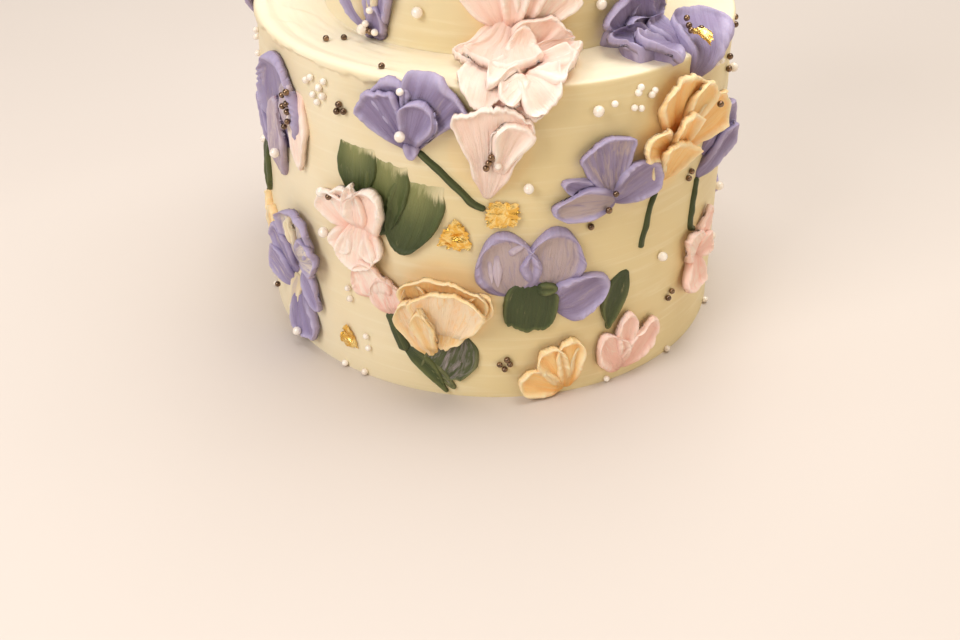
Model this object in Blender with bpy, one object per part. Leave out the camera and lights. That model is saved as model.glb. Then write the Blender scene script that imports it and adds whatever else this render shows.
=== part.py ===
"""Two-tier buttercream cake with flowers laid on by palette knife.

Two round tiers stand on one axis. Flowers, leaves and stems of buttercream lie on
their walls and over the ledge between them, with sugar pearls, dark sugar balls
and gold leaf flakes pressed into the icing.

Places are given as (arc, climb) in millimetres. Arc runs round the cake from the
front, to the right, and is measured at the base radius. Climb runs up the lower
wall, in over the ledge and up the upper wall.
"""
import math
import random
from dataclasses import dataclass, field, replace

import bmesh
import bpy
from mathutils import Matrix, Vector
from mathutils.bvhtree import BVHTree

MM = 0.001

# Tiers
ARC_RADIUS = 110.0
LOWER_FOOT_RADIUS = 110.1
LOWER_RIM_RADIUS = 106.5
LOWER_HEIGHT = 145.6
UPPER_FOOT_RADIUS = 76.0
UPPER_RIM_RADIUS = 75.0
UPPER_HEIGHT = 130.4
CAKE_HEIGHT = LOWER_HEIGHT + UPPER_HEIGHT
LEDGE = LOWER_RIM_RADIUS - UPPER_FOOT_RADIUS
TURNED_SIDES = 48
RIM_LIP = 0.7
RIM_ROUND = 1.6
LIP_WIDTH = 5.0
GAP = 0.3
OVERLAP_GAP = 0.4
MERGE = 1e-5
FLATNESS = math.radians(5.0)

# Corners of the walls, as climb, and how far the icing rounds them
RIM_CLIMB = LOWER_HEIGHT
NOOK_CLIMB = LOWER_HEIGHT + LEDGE
CROWN_CLIMB = NOOK_CLIMB + UPPER_HEIGHT
CORNER_SOFTNESS = 4.0

# Petals
ROOT_DEPTH = 2.0
ROOT_STEP = 0.35
NOOK_ROOT_DEPTH = 9.0
LARGE_PETAL = 700.0

# Sugar balls and flakes
LARGE_PEARL = 2.3
SMALL_PEARL = 1.5
DARK_BALL = 1.45
BALL_SUNK = 0.3
BALL_ROOM = 1.0

COLOURS = {
    "buttercream": ((0.86, 0.74, 0.50), 0.45, 0.0),
    "lilac": ((0.42, 0.33, 0.52), 0.45, 0.0),
    "pink": ((0.90, 0.62, 0.52), 0.45, 0.0),
    "peach": ((0.90, 0.58, 0.30), 0.45, 0.0),
    "green": ((0.10, 0.13, 0.06), 0.5, 0.0),
}


@dataclass(frozen=True)
class Form:
    """How the outline of a petal swells between its root and its lip."""
    neck: float
    widest: float
    end: float
    drop: float
    straight: float = 0.0


PAD = Form(neck=0.42, widest=0.60, end=0.70, drop=0.26)
SHELL = Form(neck=0.30, widest=0.80, end=0.88, drop=0.20, straight=0.4)
FAN = Form(neck=0.14, widest=0.90, end=0.96, drop=0.16, straight=0.9)
TONGUE = Form(neck=0.55, widest=0.55, end=0.62, drop=0.18)
BLADE = Form(neck=0.30, widest=0.45, end=0.22, drop=0.10)
SMEAR = Form(neck=0.80, widest=0.55, end=0.66, drop=0.20)


@dataclass(frozen=True)
class Petal:
    """One stroke of the knife, from its root to the middle of its lip."""
    root: tuple
    tip: tuple
    width: float
    form: Form = PAD
    body: float = 1.6
    lip: float = 3.0
    lift: float = 0.0
    bow: float = 0.0
    ragged: float = 0.5


@dataclass(frozen=True)
class Stem:
    """A thin ridge of green along a path of (arc, climb) points."""
    path: tuple
    width: float = 3.0
    height: float = 1.8


@dataclass(frozen=True)
class Balls:
    """Sugar balls of one radius at several places."""
    radius: float
    places: tuple


@dataclass(frozen=True)
class Bloom:
    """One flower, leaf or stem: a node of its own."""
    name: str
    colour: str
    strokes: tuple
    balls: tuple = field(default=())


def wall_point(climb):
    """Radius and height of the bare icing at a climb."""
    if climb <= RIM_CLIMB:
        share = climb / LOWER_HEIGHT
        return LOWER_FOOT_RADIUS + share * (LOWER_RIM_RADIUS - LOWER_FOOT_RADIUS), climb
    if climb <= NOOK_CLIMB:
        return LOWER_RIM_RADIUS - (climb - RIM_CLIMB), LOWER_HEIGHT
    if climb <= CROWN_CLIMB:
        share = (climb - NOOK_CLIMB) / UPPER_HEIGHT
        radius = UPPER_FOOT_RADIUS + share * (UPPER_RIM_RADIUS - UPPER_FOOT_RADIUS)
        return radius, LOWER_HEIGHT + share * UPPER_HEIGHT
    return max(UPPER_RIM_RADIUS - (climb - CROWN_CLIMB), 1.0), CAKE_HEIGHT


def smooth_step(value):
    """Ease from 0 to 1."""
    value = min(max(value, 0.0), 1.0)
    return value * value * (3.0 - 2.0 * value)


def wall_lean(climb):
    """Outward direction of the icing as (radial, upward) shares."""
    upness = 0.0
    for corner, sign in ((RIM_CLIMB, 1.0), (NOOK_CLIMB, -1.0), (CROWN_CLIMB, 1.0)):
        upness += sign * smooth_step(0.5 + (climb - corner) / (2.0 * CORNER_SOFTNESS))
    return math.cos(upness * math.pi / 2.0), math.sin(upness * math.pi / 2.0)


def on_icing(root, across, along, out):
    """World point at offsets across, along and out from the icing at a root."""
    arc, climb = root
    climb += along
    radius, height = wall_point(climb)
    bearing = arc / ARC_RADIUS + across / radius
    radial, upward = wall_lean(climb)
    radius += radial * out
    height += upward * out
    return Vector((radius * math.sin(bearing), -radius * math.cos(bearing), height)) * MM


def outline_width(form, share):
    """Half width of a petal at a share of its length, as a part of its full half width."""
    if share < form.widest:
        grown = share / form.widest
        rise = (1.0 - form.straight) * math.sin(0.5 * math.pi * grown) + form.straight * grown
        return form.neck + (1.0 - form.neck) * rise
    past = (share - form.widest) / (1.0 - form.widest)
    return 1.0 - (1.0 - form.end) * past * past


class PetalShape:
    """Turns a petal's sizes into points on the cake."""

    def __init__(self, petal, grow=0.0):
        self.petal = petal
        self.grow = grow
        middle_radius = wall_point((petal.root[1] + petal.tip[1]) / 2.0)[0]
        self.sideways = (petal.tip[0] - petal.root[0]) * middle_radius / ARC_RADIUS
        self.upwards = petal.tip[1] - petal.root[1]
        self.length = math.hypot(self.sideways, self.upwards)

    def place(self, share, side, out, ragged=0.0):
        """Point at a share of the length and a side from -1 to 1."""
        petal = self.petal
        half = (0.5 * petal.width * outline_width(petal.form, share) + self.grow) * side
        half += petal.bow * 4.0 * share * (1.0 - share)
        reach = share * (1.0 - petal.form.drop * abs(side) ** 2.2)
        along = self.length * reach + ragged * share ** 3 + self.grow * (2.0 * share - 1.0)
        unit_x = self.sideways / self.length
        unit_y = self.upwards / self.length
        across = unit_x * along + unit_y * half
        climb = unit_y * along - unit_x * half
        return on_icing(petal.root, across, climb, out)

    def face_height(self, share, side):
        """Height of the front face above the icing."""
        petal = self.petal
        rim = max(share ** 6, share ** 0.7 * abs(side) ** 4)
        start = 0.3 + 0.7 * smooth_step(share / 0.3)
        swell = petal.body * start + (petal.lip - petal.body) * rim
        return swell + petal.lift * share ** 1.8 + self.grow


def grid_stations(petal):
    """Shares along and sides across at which a petal has points."""
    if petal.width * math.dist(petal.root, petal.tip) < LARGE_PETAL:
        return (0.0, 0.5, 0.86, 1.0), (-1.0, -0.45, 0.45, 1.0)
    return (0.0, 0.35, 0.7, 1.0), (-1.0, -0.6, 0.0, 0.6, 1.0)


def petal_mesh(petal, order, seed, grow=0.0):
    """Closed solid of one petal, rooted below the icing and tucked in under a lifted lip."""
    dice = random.Random(seed)
    shape = PetalShape(petal, grow)
    shares, sides = grid_stations(petal)
    mesh = bmesh.new()
    ragged = [dice.uniform(-1.0, 1.0) * petal.ragged for _ in sides]
    front = [[mesh.verts.new(shape.place(share, side, shape.face_height(share, side), ragged[column]))
              for column, side in enumerate(sides)] for share in shares]
    for low, high in zip(front, front[1:]):
        for left in range(len(sides) - 1):
            mesh.faces.new((low[left], low[left + 1], high[left + 1], high[left]))
    last_row, last_column = len(shares) - 1, len(sides) - 1
    loop = [(0, column) for column in range(last_column + 1)]
    loop += [(row, last_column) for row in range(1, last_row + 1)]
    loop += [(last_row, column) for column in range(last_column - 1, -1, -1)]
    loop += [(row, 0) for row in range(last_row - 1, 0, -1)]
    crosses_nook = min(petal.root[1], petal.tip[1]) < NOOK_CLIMB < max(petal.root[1], petal.tip[1])
    depth = (NOOK_ROOT_DEPTH if crosses_nook else ROOT_DEPTH) + ROOT_STEP * order
    tuck = min(0.45, petal.lift / shape.length)
    edge = [front[row][column] for row, column in loop]
    foot = []
    for row, column in loop:
        share = shares[row] * (1.0 - tuck * shares[row])
        side = sides[column] * (0.96 - 0.3 * tuck)
        foot.append(mesh.verts.new(shape.place(share, side, -depth, grow)))
    bottom = mesh.verts.new(shape.place(0.5, 0.0, -depth))
    for here in range(len(loop)):
        after = (here + 1) % len(loop)
        mesh.faces.new((edge[here], foot[here], foot[after], edge[after]))
        mesh.faces.new((foot[here], bottom, foot[after]))
    return mesh


def stem_mesh(stem, order, grow=0.0):
    """Closed solid of a stem: one ridge section carried along its path."""
    section = ((-0.5, -1.0), (-0.5, 0.25), (-0.24, 0.95), (0.24, 0.95), (0.5, 0.25), (0.5, -1.0))
    mesh = bmesh.new()
    rings = []
    count = len(stem.path)
    for step, (arc, climb) in enumerate(stem.path):
        before = stem.path[max(step - 1, 0)]
        after = stem.path[min(step + 1, count - 1)]
        heading = math.atan2(after[1] - before[1], after[0] - before[0])
        thin = 0.8 if step in (0, count - 1) else 1.0
        ring = []
        for sideways, up in section:
            wide = stem.width * thin + 2.0 * grow
            across = -math.sin(heading) * sideways * wide
            along = math.cos(heading) * sideways * wide
            out = up * stem.height * thin + grow if up > 0 else -ROOT_DEPTH - ROOT_STEP * order
            ring.append(mesh.verts.new(on_icing((arc, climb), across, along, out)))
        rings.append(ring)
    for ring, following in zip(rings, rings[1:]):
        for here in range(len(section)):
            after = (here + 1) % len(section)
            mesh.faces.new((ring[here], ring[after], following[after], following[here]))
    mesh.faces.new(rings[0])
    mesh.faces.new(tuple(reversed(rings[-1])))
    return mesh


def add_object(name, mesh):
    """Object made from a bmesh of a closed solid, its faces turned outwards."""
    bmesh.ops.triangulate(mesh, faces=mesh.faces)
    bmesh.ops.recalc_face_normals(mesh, faces=mesh.faces)
    if mesh.calc_volume(signed=True) < 0.0:
        bmesh.ops.reverse_faces(mesh, faces=mesh.faces)
    data = bpy.data.meshes.new(name)
    mesh.to_mesh(data)
    mesh.free()
    made = bpy.data.objects.new(name, data)
    bpy.context.scene.collection.objects.link(made)
    return made


def turned(name, outline):
    """Round solid spun from (radius, height) points that start and end on the axis."""
    mesh = bmesh.new()
    chain = [mesh.verts.new(Vector((0.0, -radius, height)) * MM) for radius, height in outline]
    edges = [mesh.edges.new(pair) for pair in zip(chain, chain[1:])]
    bmesh.ops.spin(mesh, geom=chain + edges, cent=(0, 0, 0), axis=(0, 0, 1),
                   angle=math.tau, steps=TURNED_SIDES, use_merge=False)
    bmesh.ops.remove_doubles(mesh, verts=mesh.verts, dist=1e-6)
    return add_object(name, mesh)


def rim_outline(radius, top, grow):
    """Rim of a tier: a rounded edge, a flat lip and the step down from it."""
    outer = radius + grow
    inner = radius - LIP_WIDTH - grow
    return ((outer, top - 1.0), (outer - RIM_ROUND, top + RIM_LIP), (inner, top + RIM_LIP), (inner - 0.5, top))


def lower_outline(grow):
    """Outline of the lower tier, with a low lip round its rim."""
    top = LOWER_HEIGHT - GAP + grow
    return ((LOWER_FOOT_RADIUS + grow, 0.0),) + rim_outline(LOWER_RIM_RADIUS, top, grow)


def upper_outline(grow):
    """Outline of the upper tier above the ledge, with the same lip."""
    top = CAKE_HEIGHT + grow
    return ((UPPER_FOOT_RADIUS + grow, LOWER_HEIGHT),) + rim_outline(UPPER_RIM_RADIUS, top, grow)


def combine(target, others, operation):
    """Apply one Boolean with a collection of objects, then remove them."""
    group = bpy.data.collections.new(target.name + "_group")
    bpy.context.scene.collection.children.link(group)
    for other in others:
        bpy.context.scene.collection.objects.unlink(other)
        group.objects.link(other)
    before = target.data
    for solver in ("EXACT", "MANIFOLD"):
        boolean = target.modifiers.new("boolean", "BOOLEAN")
        boolean.operation = operation
        boolean.operand_type = "COLLECTION"
        boolean.collection = group
        boolean.solver = solver
        result, whole = cleaned_result(target)
        target.modifiers.clear()
        if whole:
            break
    target.data = result
    bpy.data.meshes.remove(before)
    for other in list(group.objects):
        bpy.data.objects.remove(other)
    bpy.data.collections.remove(group)


def cleaned_result(target):
    """Evaluated mesh of an object, its largest body only, and whether that is whole."""
    graph = bpy.context.evaluated_depsgraph_get()
    graph.update()
    result = bpy.data.meshes.new_from_object(target.evaluated_get(graph))
    mesh = bmesh.new()
    mesh.from_mesh(result)
    bmesh.ops.remove_doubles(mesh, verts=mesh.verts, dist=MERGE)
    bmesh.ops.dissolve_degenerate(mesh, edges=mesh.edges, dist=MERGE)
    total = abs(mesh.calc_volume(signed=True))
    keep_largest_body(mesh)
    bmesh.ops.dissolve_limit(mesh, angle_limit=FLATNESS, verts=mesh.verts, edges=mesh.edges)
    bmesh.ops.triangulate(mesh, faces=mesh.faces)
    kept = mesh.calc_volume(signed=True)
    closed = all(edge.is_manifold for edge in mesh.edges)
    mesh.to_mesh(result)
    mesh.free()
    return result, closed and kept > 0.8 * total


def keep_largest_body(mesh):
    """Drop loose scraps and sealed hollows that a union leaves."""
    left = set(mesh.faces)
    bodies = []
    while left:
        body = []
        waiting = [left.pop()]
        while waiting:
            face = waiting.pop()
            body.append(face)
            for edge in face.edges:
                for other in edge.link_faces:
                    if other in left:
                        left.remove(other)
                        waiting.append(other)
        bodies.append(body)
    bodies.sort(key=len)
    for body in bodies[:-1]:
        bmesh.ops.delete(mesh, geom=body, context="FACES")


def ball_objects(host, groups, flowers=()):
    """Small round solids pressed into the surface of a host, clear of the flowers."""
    graph = bpy.context.evaluated_depsgraph_get()
    graph.update()
    tree = BVHTree.FromObject(host, graph)
    flower_trees = [BVHTree.FromObject(flower, graph) for flower in flowers]
    made = []
    for balls in groups:
        for place in balls.places:
            start = on_icing(place, 0.0, 0.0, 40.0)
            inward = (on_icing(place, 0.0, 0.0, 0.0) - start).normalized()
            touch = tree.ray_cast(start, inward)[0]
            centre = touch - inward * balls.radius * (1.0 - BALL_SUNK) * MM
            room = (balls.radius + BALL_ROOM) * MM
            if any(flower.find_nearest(centre, room)[0] for flower in flower_trees):
                continue
            mesh = bmesh.new()
            turn = Matrix.Translation(centre) @ Matrix.Rotation(place[0], 4, (0.3, 0.5, 0.8))
            bmesh.ops.create_icosphere(mesh, subdivisions=1, radius=balls.radius * MM, matrix=turn)
            made.append(add_object("ball", mesh))
    return made


def finish(target, colour):
    """Give an object its own material and smooth shading with crisp edges."""
    shade, roughness, metallic = COLOURS[colour]
    material = bpy.data.materials.new(target.name)
    material.use_nodes = True
    shader = material.node_tree.nodes["Principled BSDF"]
    shader.inputs["Base Color"].default_value = (*shade, 1.0)
    shader.inputs["Roughness"].default_value = roughness
    shader.inputs["Metallic"].default_value = metallic
    target.data.materials.clear()
    target.data.materials.append(material)
    target.data.shade_smooth()
    target.data.set_sharp_from_angle(angle=math.radians(50.0))


def grown_cake(name):
    """Both tiers as one solid, grown by the gap, that cuts the backs of the flowers."""
    outline = ((0.0, -20.0), (LOWER_FOOT_RADIUS + GAP, -20.0)) + lower_outline(GAP)
    return turned(name, outline + upper_outline(GAP) + ((0.0, CAKE_HEIGHT + GAP),))


def floor_block():
    """Block under the cake that cuts off what would reach below its base."""
    mesh = bmesh.new()
    shift = Matrix.Translation((0.0, 0.0, -0.05)) @ Matrix.Diagonal((0.4, 0.4, 0.1, 1.0))
    bmesh.ops.create_cube(mesh, size=1.0, matrix=shift)
    return add_object("floor_block", mesh)


def stroke_object(name, stroke, order, seed, grow=0.0):
    """Object of one stroke of a flower."""
    if isinstance(stroke, Stem):
        return add_object(name, stem_mesh(stroke, order, grow))
    return add_object(name, petal_mesh(stroke, order, seed * 31 + order, grow))


def build_bloom(bloom, seed, above):
    """One flower: its strokes joined, then cut clear of the cake and of what lies over it."""
    parts = [stroke_object(bloom.name if order == 0 else "stroke", stroke, order, seed)
             for order, stroke in enumerate(bloom.strokes)]
    flower = parts[0]
    if len(parts) > 1:
        combine(flower, parts[1:], "UNION")
    combine(flower, [grown_cake("cake_cutter"), floor_block()], "DIFFERENCE")
    for other, other_seed in above:
        cutters = [stroke_object("cutter", stroke, order, other_seed, OVERLAP_GAP)
                   for order, stroke in enumerate(other.strokes)]
        combine(flower, cutters, "DIFFERENCE")
    if bloom.balls:
        combine(flower, ball_objects(flower, bloom.balls), "UNION")
    finish(flower, bloom.colour)
    return flower


def middle(bloom):
    """Mean of the places where a flower's strokes start."""
    starts = [stroke.path[0] if isinstance(stroke, Stem) else stroke.root for stroke in bloom.strokes]
    return (sum(arc for arc, _ in starts) / len(starts), sum(climb for _, climb in starts) / len(starts))


def turned_copy(bloom, name, place, flip=1.0, about=None):
    """The same flower with its middle at another place, mirrored when flip is -1."""
    centre = middle(about or bloom)
    stretch = flip * wall_point(centre[1])[0] / wall_point(place[1])[0]

    def moved(point):
        return (place[0] + stretch * (point[0] - centre[0]), place[1] + point[1] - centre[1])

    strokes = []
    for stroke in bloom.strokes:
        if isinstance(stroke, Stem):
            strokes.append(replace(stroke, path=tuple(moved(point) for point in stroke.path)))
        else:
            strokes.append(replace(stroke, root=moved(stroke.root), tip=moved(stroke.tip),
                                   bow=flip * stroke.bow))
    balls = tuple(Balls(group.radius, tuple(moved(point) for point in group.places))
                  for group in bloom.balls)
    return Bloom(name, bloom.colour, tuple(strokes), balls)


# Flowers of the front, left to right

LILAC_TULIP = Bloom("lilac_tulip_left", "lilac", (
    Petal((-108, 98), (-111, 137), 38, PAD, 2.0, 3.4, 1.5),
    Petal((-120, 92), (-133, 111), 12, TONGUE, 1.6, 2.8),
    Petal((-104, 106), (-99, 129), 11, TONGUE, 2.8, 3.8, 1.5),
    Petal((-101, 117), (-92, 95), 13, PAD, 2.6, 3.4, 1.0),
    Petal((-110, 117), (-113, 84), 15, TONGUE, 2.8, 3.8, 1.0),
), (Balls(LARGE_PEARL, ((-109, 97),)),
    Balls(DARK_BALL, ((-96.8, 125.5), (-99, 123), (-95.5, 119), (-99.5, 115), (-97, 109)))))

LILAC_PAIR = Bloom("lilac_pair_rim", "lilac", (
    Petal((-35, 118), (-41, 148), 15, FAN, 2.2, 3.6, 1.0, 0.5, 1.0),
    Petal((-35, 117), (-49, 144.5), 19, FAN, 3.4, 4.8, 1.5, 1.0, 1.2),
    Petal((-33, 118), (-19.5, 147.5), 25, FAN, 2.2, 3.4, 2.0, -1.5, 0.6),
    Petal((-34, 120), (-28, 138), 14, SHELL, 4.2, 5.2, 1.5, 0.0, 0.4),
), (Balls(LARGE_PEARL, ((-36, 126),)), Balls(SMALL_PEARL, ((-36, 141),))))

LILAC_PAIR_STEM = Bloom("lilac_pair_stem", "green", (
    Stem(((-30, 117), (-26, 113), (-21, 109), (-17, 105), (-12, 101), (-9, 96.5), (-3, 94)), 3.2, 1.8),))

PINK_TRUMPET = Bloom("pink_trumpet_rim", "pink", (
    Petal((-3, 105), (-3, 139.5), 26, FAN, 2.8, 3.8, 4.0, -1.0, 1.6),
    Petal((0, 108), (9, 134), 12, SHELL, 3.8, 4.8, 2.5, 1.0, 0.8),
), (Balls(DARK_BALL, ((-1.2, 119), (-2.4, 116))), Balls(SMALL_PEARL, ((0.8, 115.5),))))

PINK_FALL = Bloom("pink_fall_ledge", "pink", (
    Petal((6, 188), (-2, 144), 28, SHELL, 5.5, 6.5, 4.0, 0.0, 1.4),
    Petal((-1, 127), (-9, 150), 15, SHELL, 1.8, 3.0, 1.5, 0.0, 0.8),
), ())

PINK_BURST = Bloom("pink_burst_ledge", "pink", (
    Petal((13, 153), (31, 187), 21, SHELL, 4.5, 5.5, 4.0, 1.5, 1.2),
    Petal((14, 153), (35, 161), 23, SHELL, 4.0, 5.5, 4.0, -1.0, 1.2),
    Petal((12, 150), (15, 184), 11, TONGUE, 6.5, 7.5, 3.0, 0.0, 1.0),
    Petal((9, 134), (19, 152), 20, SHELL, 3.4, 4.8, 4.0, -1.0, 1.2),
), ())

PINK_CREST = Bloom("pink_crest_upper", "pink", (
    Petal((4, 189), (-7, 213), 24, SHELL, 3.0, 4.0, 3.5, -1.0, 1.2),
    Petal((10, 188), (14, 212), 12, TONGUE, 4.5, 5.5, 3.0, 1.5, 1.0),
    Petal((14, 189), (32, 212), 26, SHELL, 2.6, 3.8, 3.5, 1.0, 1.2),
    Petal((6, 204), (4, 234), 26, SHELL, 3.2, 4.6, 4.0, 0.0, 1.4),
), (Balls(DARK_BALL, ((8, 206), (12, 208))),))

LILAC_RUFFLE = Bloom("lilac_ruffle_ledge", "lilac", (
    Petal((90, 150), (78, 187), 18, SHELL, 3.5, 4.6, 5.0, 2.0, 1.0),
    Petal((91, 150), (76, 165), 15, SHELL, 2.6, 3.8, 4.5, -1.5, 0.8),
    Petal((90, 150), (93, 188), 15, SHELL, 5.0, 6.0, 6.0, -1.0, 1.0),
    Petal((92, 139), (113, 167), 28, PAD, 2.6, 3.8, 6.0, -2.0, 0.8),
), (Balls(DARK_BALL, ((106, 156), (103, 153), (101, 150.5))),))

PEACH_RIGHT = Bloom("peach_ruffle_right", "peach", (
    Petal((82, 117), (83, 138), 23, SHELL, 2.2, 3.4, 4.0, 0.0, 1.0),
    Petal((87, 110), (114, 122), 22, SHELL, 3.0, 4.2, 4.5, -1.5, 1.0),
    Petal((77, 103), (66, 119), 17, SHELL, 2.4, 3.6, 4.0, 1.0, 0.8),
    Petal((84, 107), (92, 122), 14, SHELL, 4.2, 5.2, 4.0, 0.0, 0.8),
    Petal((78, 95), (86, 111), 22, SHELL, 2.4, 3.8, 4.0, 0.0, 0.8),
), (Balls(DARK_BALL, ((104, 121),)),))

LILAC_BEHIND = Bloom("lilac_behind_peach", "lilac", (
    Petal((109, 87), (133, 103), 18, SHELL, 2.0, 3.4, 3.5, -1.0, 0.8),
    Petal((122, 97), (140, 113), 16, SHELL, 2.2, 3.6, 4.0, 0.0, 0.8),
), ())

LILAC_BEHIND_STEM = Bloom("lilac_behind_stem", "green", (
    Stem(((105.5, 84.5), (103.6, 76), (103, 68), (103, 61.5), (108, 59)), 3.4, 1.8),))

LILAC_THREE = Bloom("lilac_three_petal", "lilac", (
    Petal((51, 95), (46, 122), 25, SHELL, 2.2, 3.6, 2.5, 0.0, 0.6),
    Petal((52, 95), (71, 104), 20, SHELL, 2.4, 3.6, 2.0, -1.0, 1.0),
    Petal((45, 97), (30, 103), 9, PAD, 1.4, 2.6),
    Petal((54, 93), (24, 94.5), 14, PAD, 3.0, 4.2, 1.0, 1.5, 0.4),
), (Balls(DARK_BALL, ((49.5, 99), (48.5, 93))),))

LILAC_THREE_STEM = Bloom("lilac_three_stem", "green", (
    Stem(((74.5, 90.5), (72.3, 86), (71, 80), (70.5, 75), (68.7, 70), (68.5, 65)), 3.0, 1.7),))

GREEN_LEAF_LEFT = Bloom("leaf_large_left", "green", (
    Petal((-59, 115), (-60, 91), 18, SMEAR, 1.2, 1.8),))
GREEN_LEAF_MIDDLE = Bloom("leaf_large_middle", "green", (
    Petal((-44, 112), (-49, 77), 17, SMEAR, 1.3, 2.2),))
GREEN_LEAF_RIGHT = Bloom("leaf_large_right", "green", (
    Petal((-31, 104), (-40, 70), 24, SMEAR, 1.3, 2.6, 0.0, -1.0),))

PINK_LEFT = Bloom("pink_ruffle_left", "pink", (
    Petal((-64, 72), (-75, 91), 15, SHELL, 2.2, 3.2, 3.0, 0.0, 1.0),
    Petal((-65, 70), (-78, 77), 11, SHELL, 2.2, 3.2, 2.0, 0.0, 0.8),
    Petal((-56, 73), (-49.5, 98.5), 18, PAD, 3.2, 4.6, 3.5, -1.5, 0.5),
    Petal((-62, 73), (-59.5, 97), 11, BLADE, 4.2, 4.8, 3.5, 0.0, 0.5),
    Petal((-60, 78), (-62, 55), 20, SHELL, 3.6, 4.6, 1.5, 0.0, 1.2),
), (Balls(LARGE_PEARL, ((-72.5, 88.5), (-77.5, 74.5))), Balls(DARK_BALL, ((-69.5, 84.5),))))

PINK_LEFT_LOW = Bloom("pink_pair_left", "pink", (
    Petal((-46, 40), (-57, 60), 15, PAD, 2.4, 3.6, 1.5, 0.0, 0.8),
    Petal((-44, 41), (-49, 63), 14, PAD, 2.2, 3.2, 1.0, 0.0, 0.8),
), ())

PEACH_FRONT = Bloom("peach_cup_front", "peach", (
    Petal((-23, 33), (-21, 61.5), 41, SHELL, 2.4, 3.6, 6.0, 0.0, 1.0),
    Petal((-19, 31), (-16, 56), 27, SHELL, 5.0, 6.0, 6.5, 0.0, 0.8),
    Petal((-28, 25), (-37, 49), 16, SHELL, 4.0, 5.0, 5.0, 0.0, 0.8),
    Petal((-26, 23), (-20, 36), 18, TONGUE, 3.0, 3.0, 0.0, 0.0, 1.2),
), ())

LEAF_STRIP = Bloom("leaf_strip_front", "green", (
    Stem(((-45, 38), (-43.5, 33), (-41.5, 28), (-40, 24.5)), 5.0, 1.8),))
LEAF_LOW = Bloom("leaf_low_front", "green", (
    Petal((-39, 22), (-19, 2.5), 8, BLADE, 1.5, 2.2, 0.0, -2.5, 0.4),))
LEAF_GREY = Bloom("leaf_grey_front", "green", (
    Petal((-13, 37), (-24, 11), 20, SMEAR, 1.0, 1.6, 0.0, -1.5, 0.6),))

LILAC_CREAM = Bloom("lilac_cream_left", "lilac", (
    Petal((-105, 47), (-107, 18), 11, TONGUE, 2.0, 2.4, 0.0, 0.0, 1.0),
    Petal((-100, 42), (-94, 68), 32, SHELL, 2.4, 3.8, 3.0, -1.5, 1.0),
    Petal((-108, 30), (-127, 38), 24, SHELL, 2.4, 3.4, 3.0, 0.0, 1.0),
    Petal((-104, 42), (-82, 54), 16, SHELL, 4.4, 5.6, 3.0, 0.0, 1.0),
    Petal((-103, 36), (-83, 29), 14, PAD, 2.4, 3.4, 1.0, 0.0, 0.4),
    Petal((-104, 26), (-94, 4), 23, SHELL, 2.4, 3.4, 1.0, 0.0, 1.0),
), (Balls(LARGE_PEARL, ((-99, 8),)), Balls(DARK_BALL, ((-121, 31),))))

LILAC_TRIO = Bloom("lilac_trio_front", "lilac", (
    Petal((11, 53), (3, 83.5), 26, PAD, 1.9, 3.4),
    Petal((24, 57), (27, 84.5), 27, PAD, 2.3, 3.8),
    Petal((27, 47), (51, 56), 22, PAD, 2.1, 3.6),
), ())
LEAF_TRIO = Bloom("leaf_trio_front", "green", (
    Petal((15, 35), (18, 59.5), 23, SMEAR, 1.4, 2.4, 0.0, 0.0, 1.2),
    Petal((20, 55.5), (27.5, 57), 5, TONGUE, 2.6, 3.0, 1.0),
), ())

LEAF_POINTED = Bloom("leaf_pointed_right", "green", (
    Petal((61, 56), (52.5, 30), 12, BLADE, 1.4, 2.0, 0.0, 2.0, 0.3),))

PINK_FAN = Bloom("pink_fan_right", "pink", (
    Petal((61, 4), (50, 28), 16, PAD, 2.4, 3.8, 1.5, 1.0, 0.8),
    Petal((62, 8), (62, 34.5), 10, SHELL, 2.8, 4.0, 1.0, 0.0, 0.6),
    Petal((62, 5), (78, 26), 15, PAD, 2.6, 4.2, 1.5, -0.5, 0.8),
), ())

PEACH_FAN = Bloom("peach_fan_front", "peach", (
    Petal((34, 2.5), (32, 30), 12, SHELL, 3.2, 4.2, 2.0, 0.0, 0.8),
    Petal((33, 3.5), (21.5, 27), 14, SHELL, 2.8, 4.0, 2.0, 0.0, 0.8),
    Petal((33.5, 3), (12.5, 12), 14, SHELL, 2.8, 4.0, 2.0, 0.0, 0.8),
), ())

PINK_EDGE = Bloom("pink_ruffle_edge", "pink", (
    Petal((111, 46), (120, 63), 11, TONGUE, 1.8, 2.6, 0.0),
    Petal((112, 45), (97, 60), 15, PAD, 2.6, 3.8, 1.5, 0.0, 0.8),
    Petal((110, 45), (124, 47), 14, SHELL, 2.6, 3.8, 1.5, 0.0, 0.8),
    Petal((110, 46), (106, 28), 22, SHELL, 2.8, 4.0, 1.5, 0.0, 1.0),
), ())

LILAC_CREAM_UPPER = Bloom("lilac_cream_upper", "lilac", (
    Petal((-77, 175), (-106, 205), 24, SHELL, 2.4, 3.4, 2.0, 1.5, 0.8),
    Petal((-74, 174), (-70, 205), 14, SHELL, 2.4, 3.4, 2.0, 0.0, 0.8),
    Petal((-80, 181), (-84, 212), 18, SHELL, 3.4, 4.6, 2.0, 0.0, 1.0),
), (Balls(SMALL_PEARL, ((-73, 190), (-81, 186))),
    Balls(DARK_BALL, ((-78, 182), (-75, 177)))))

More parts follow.
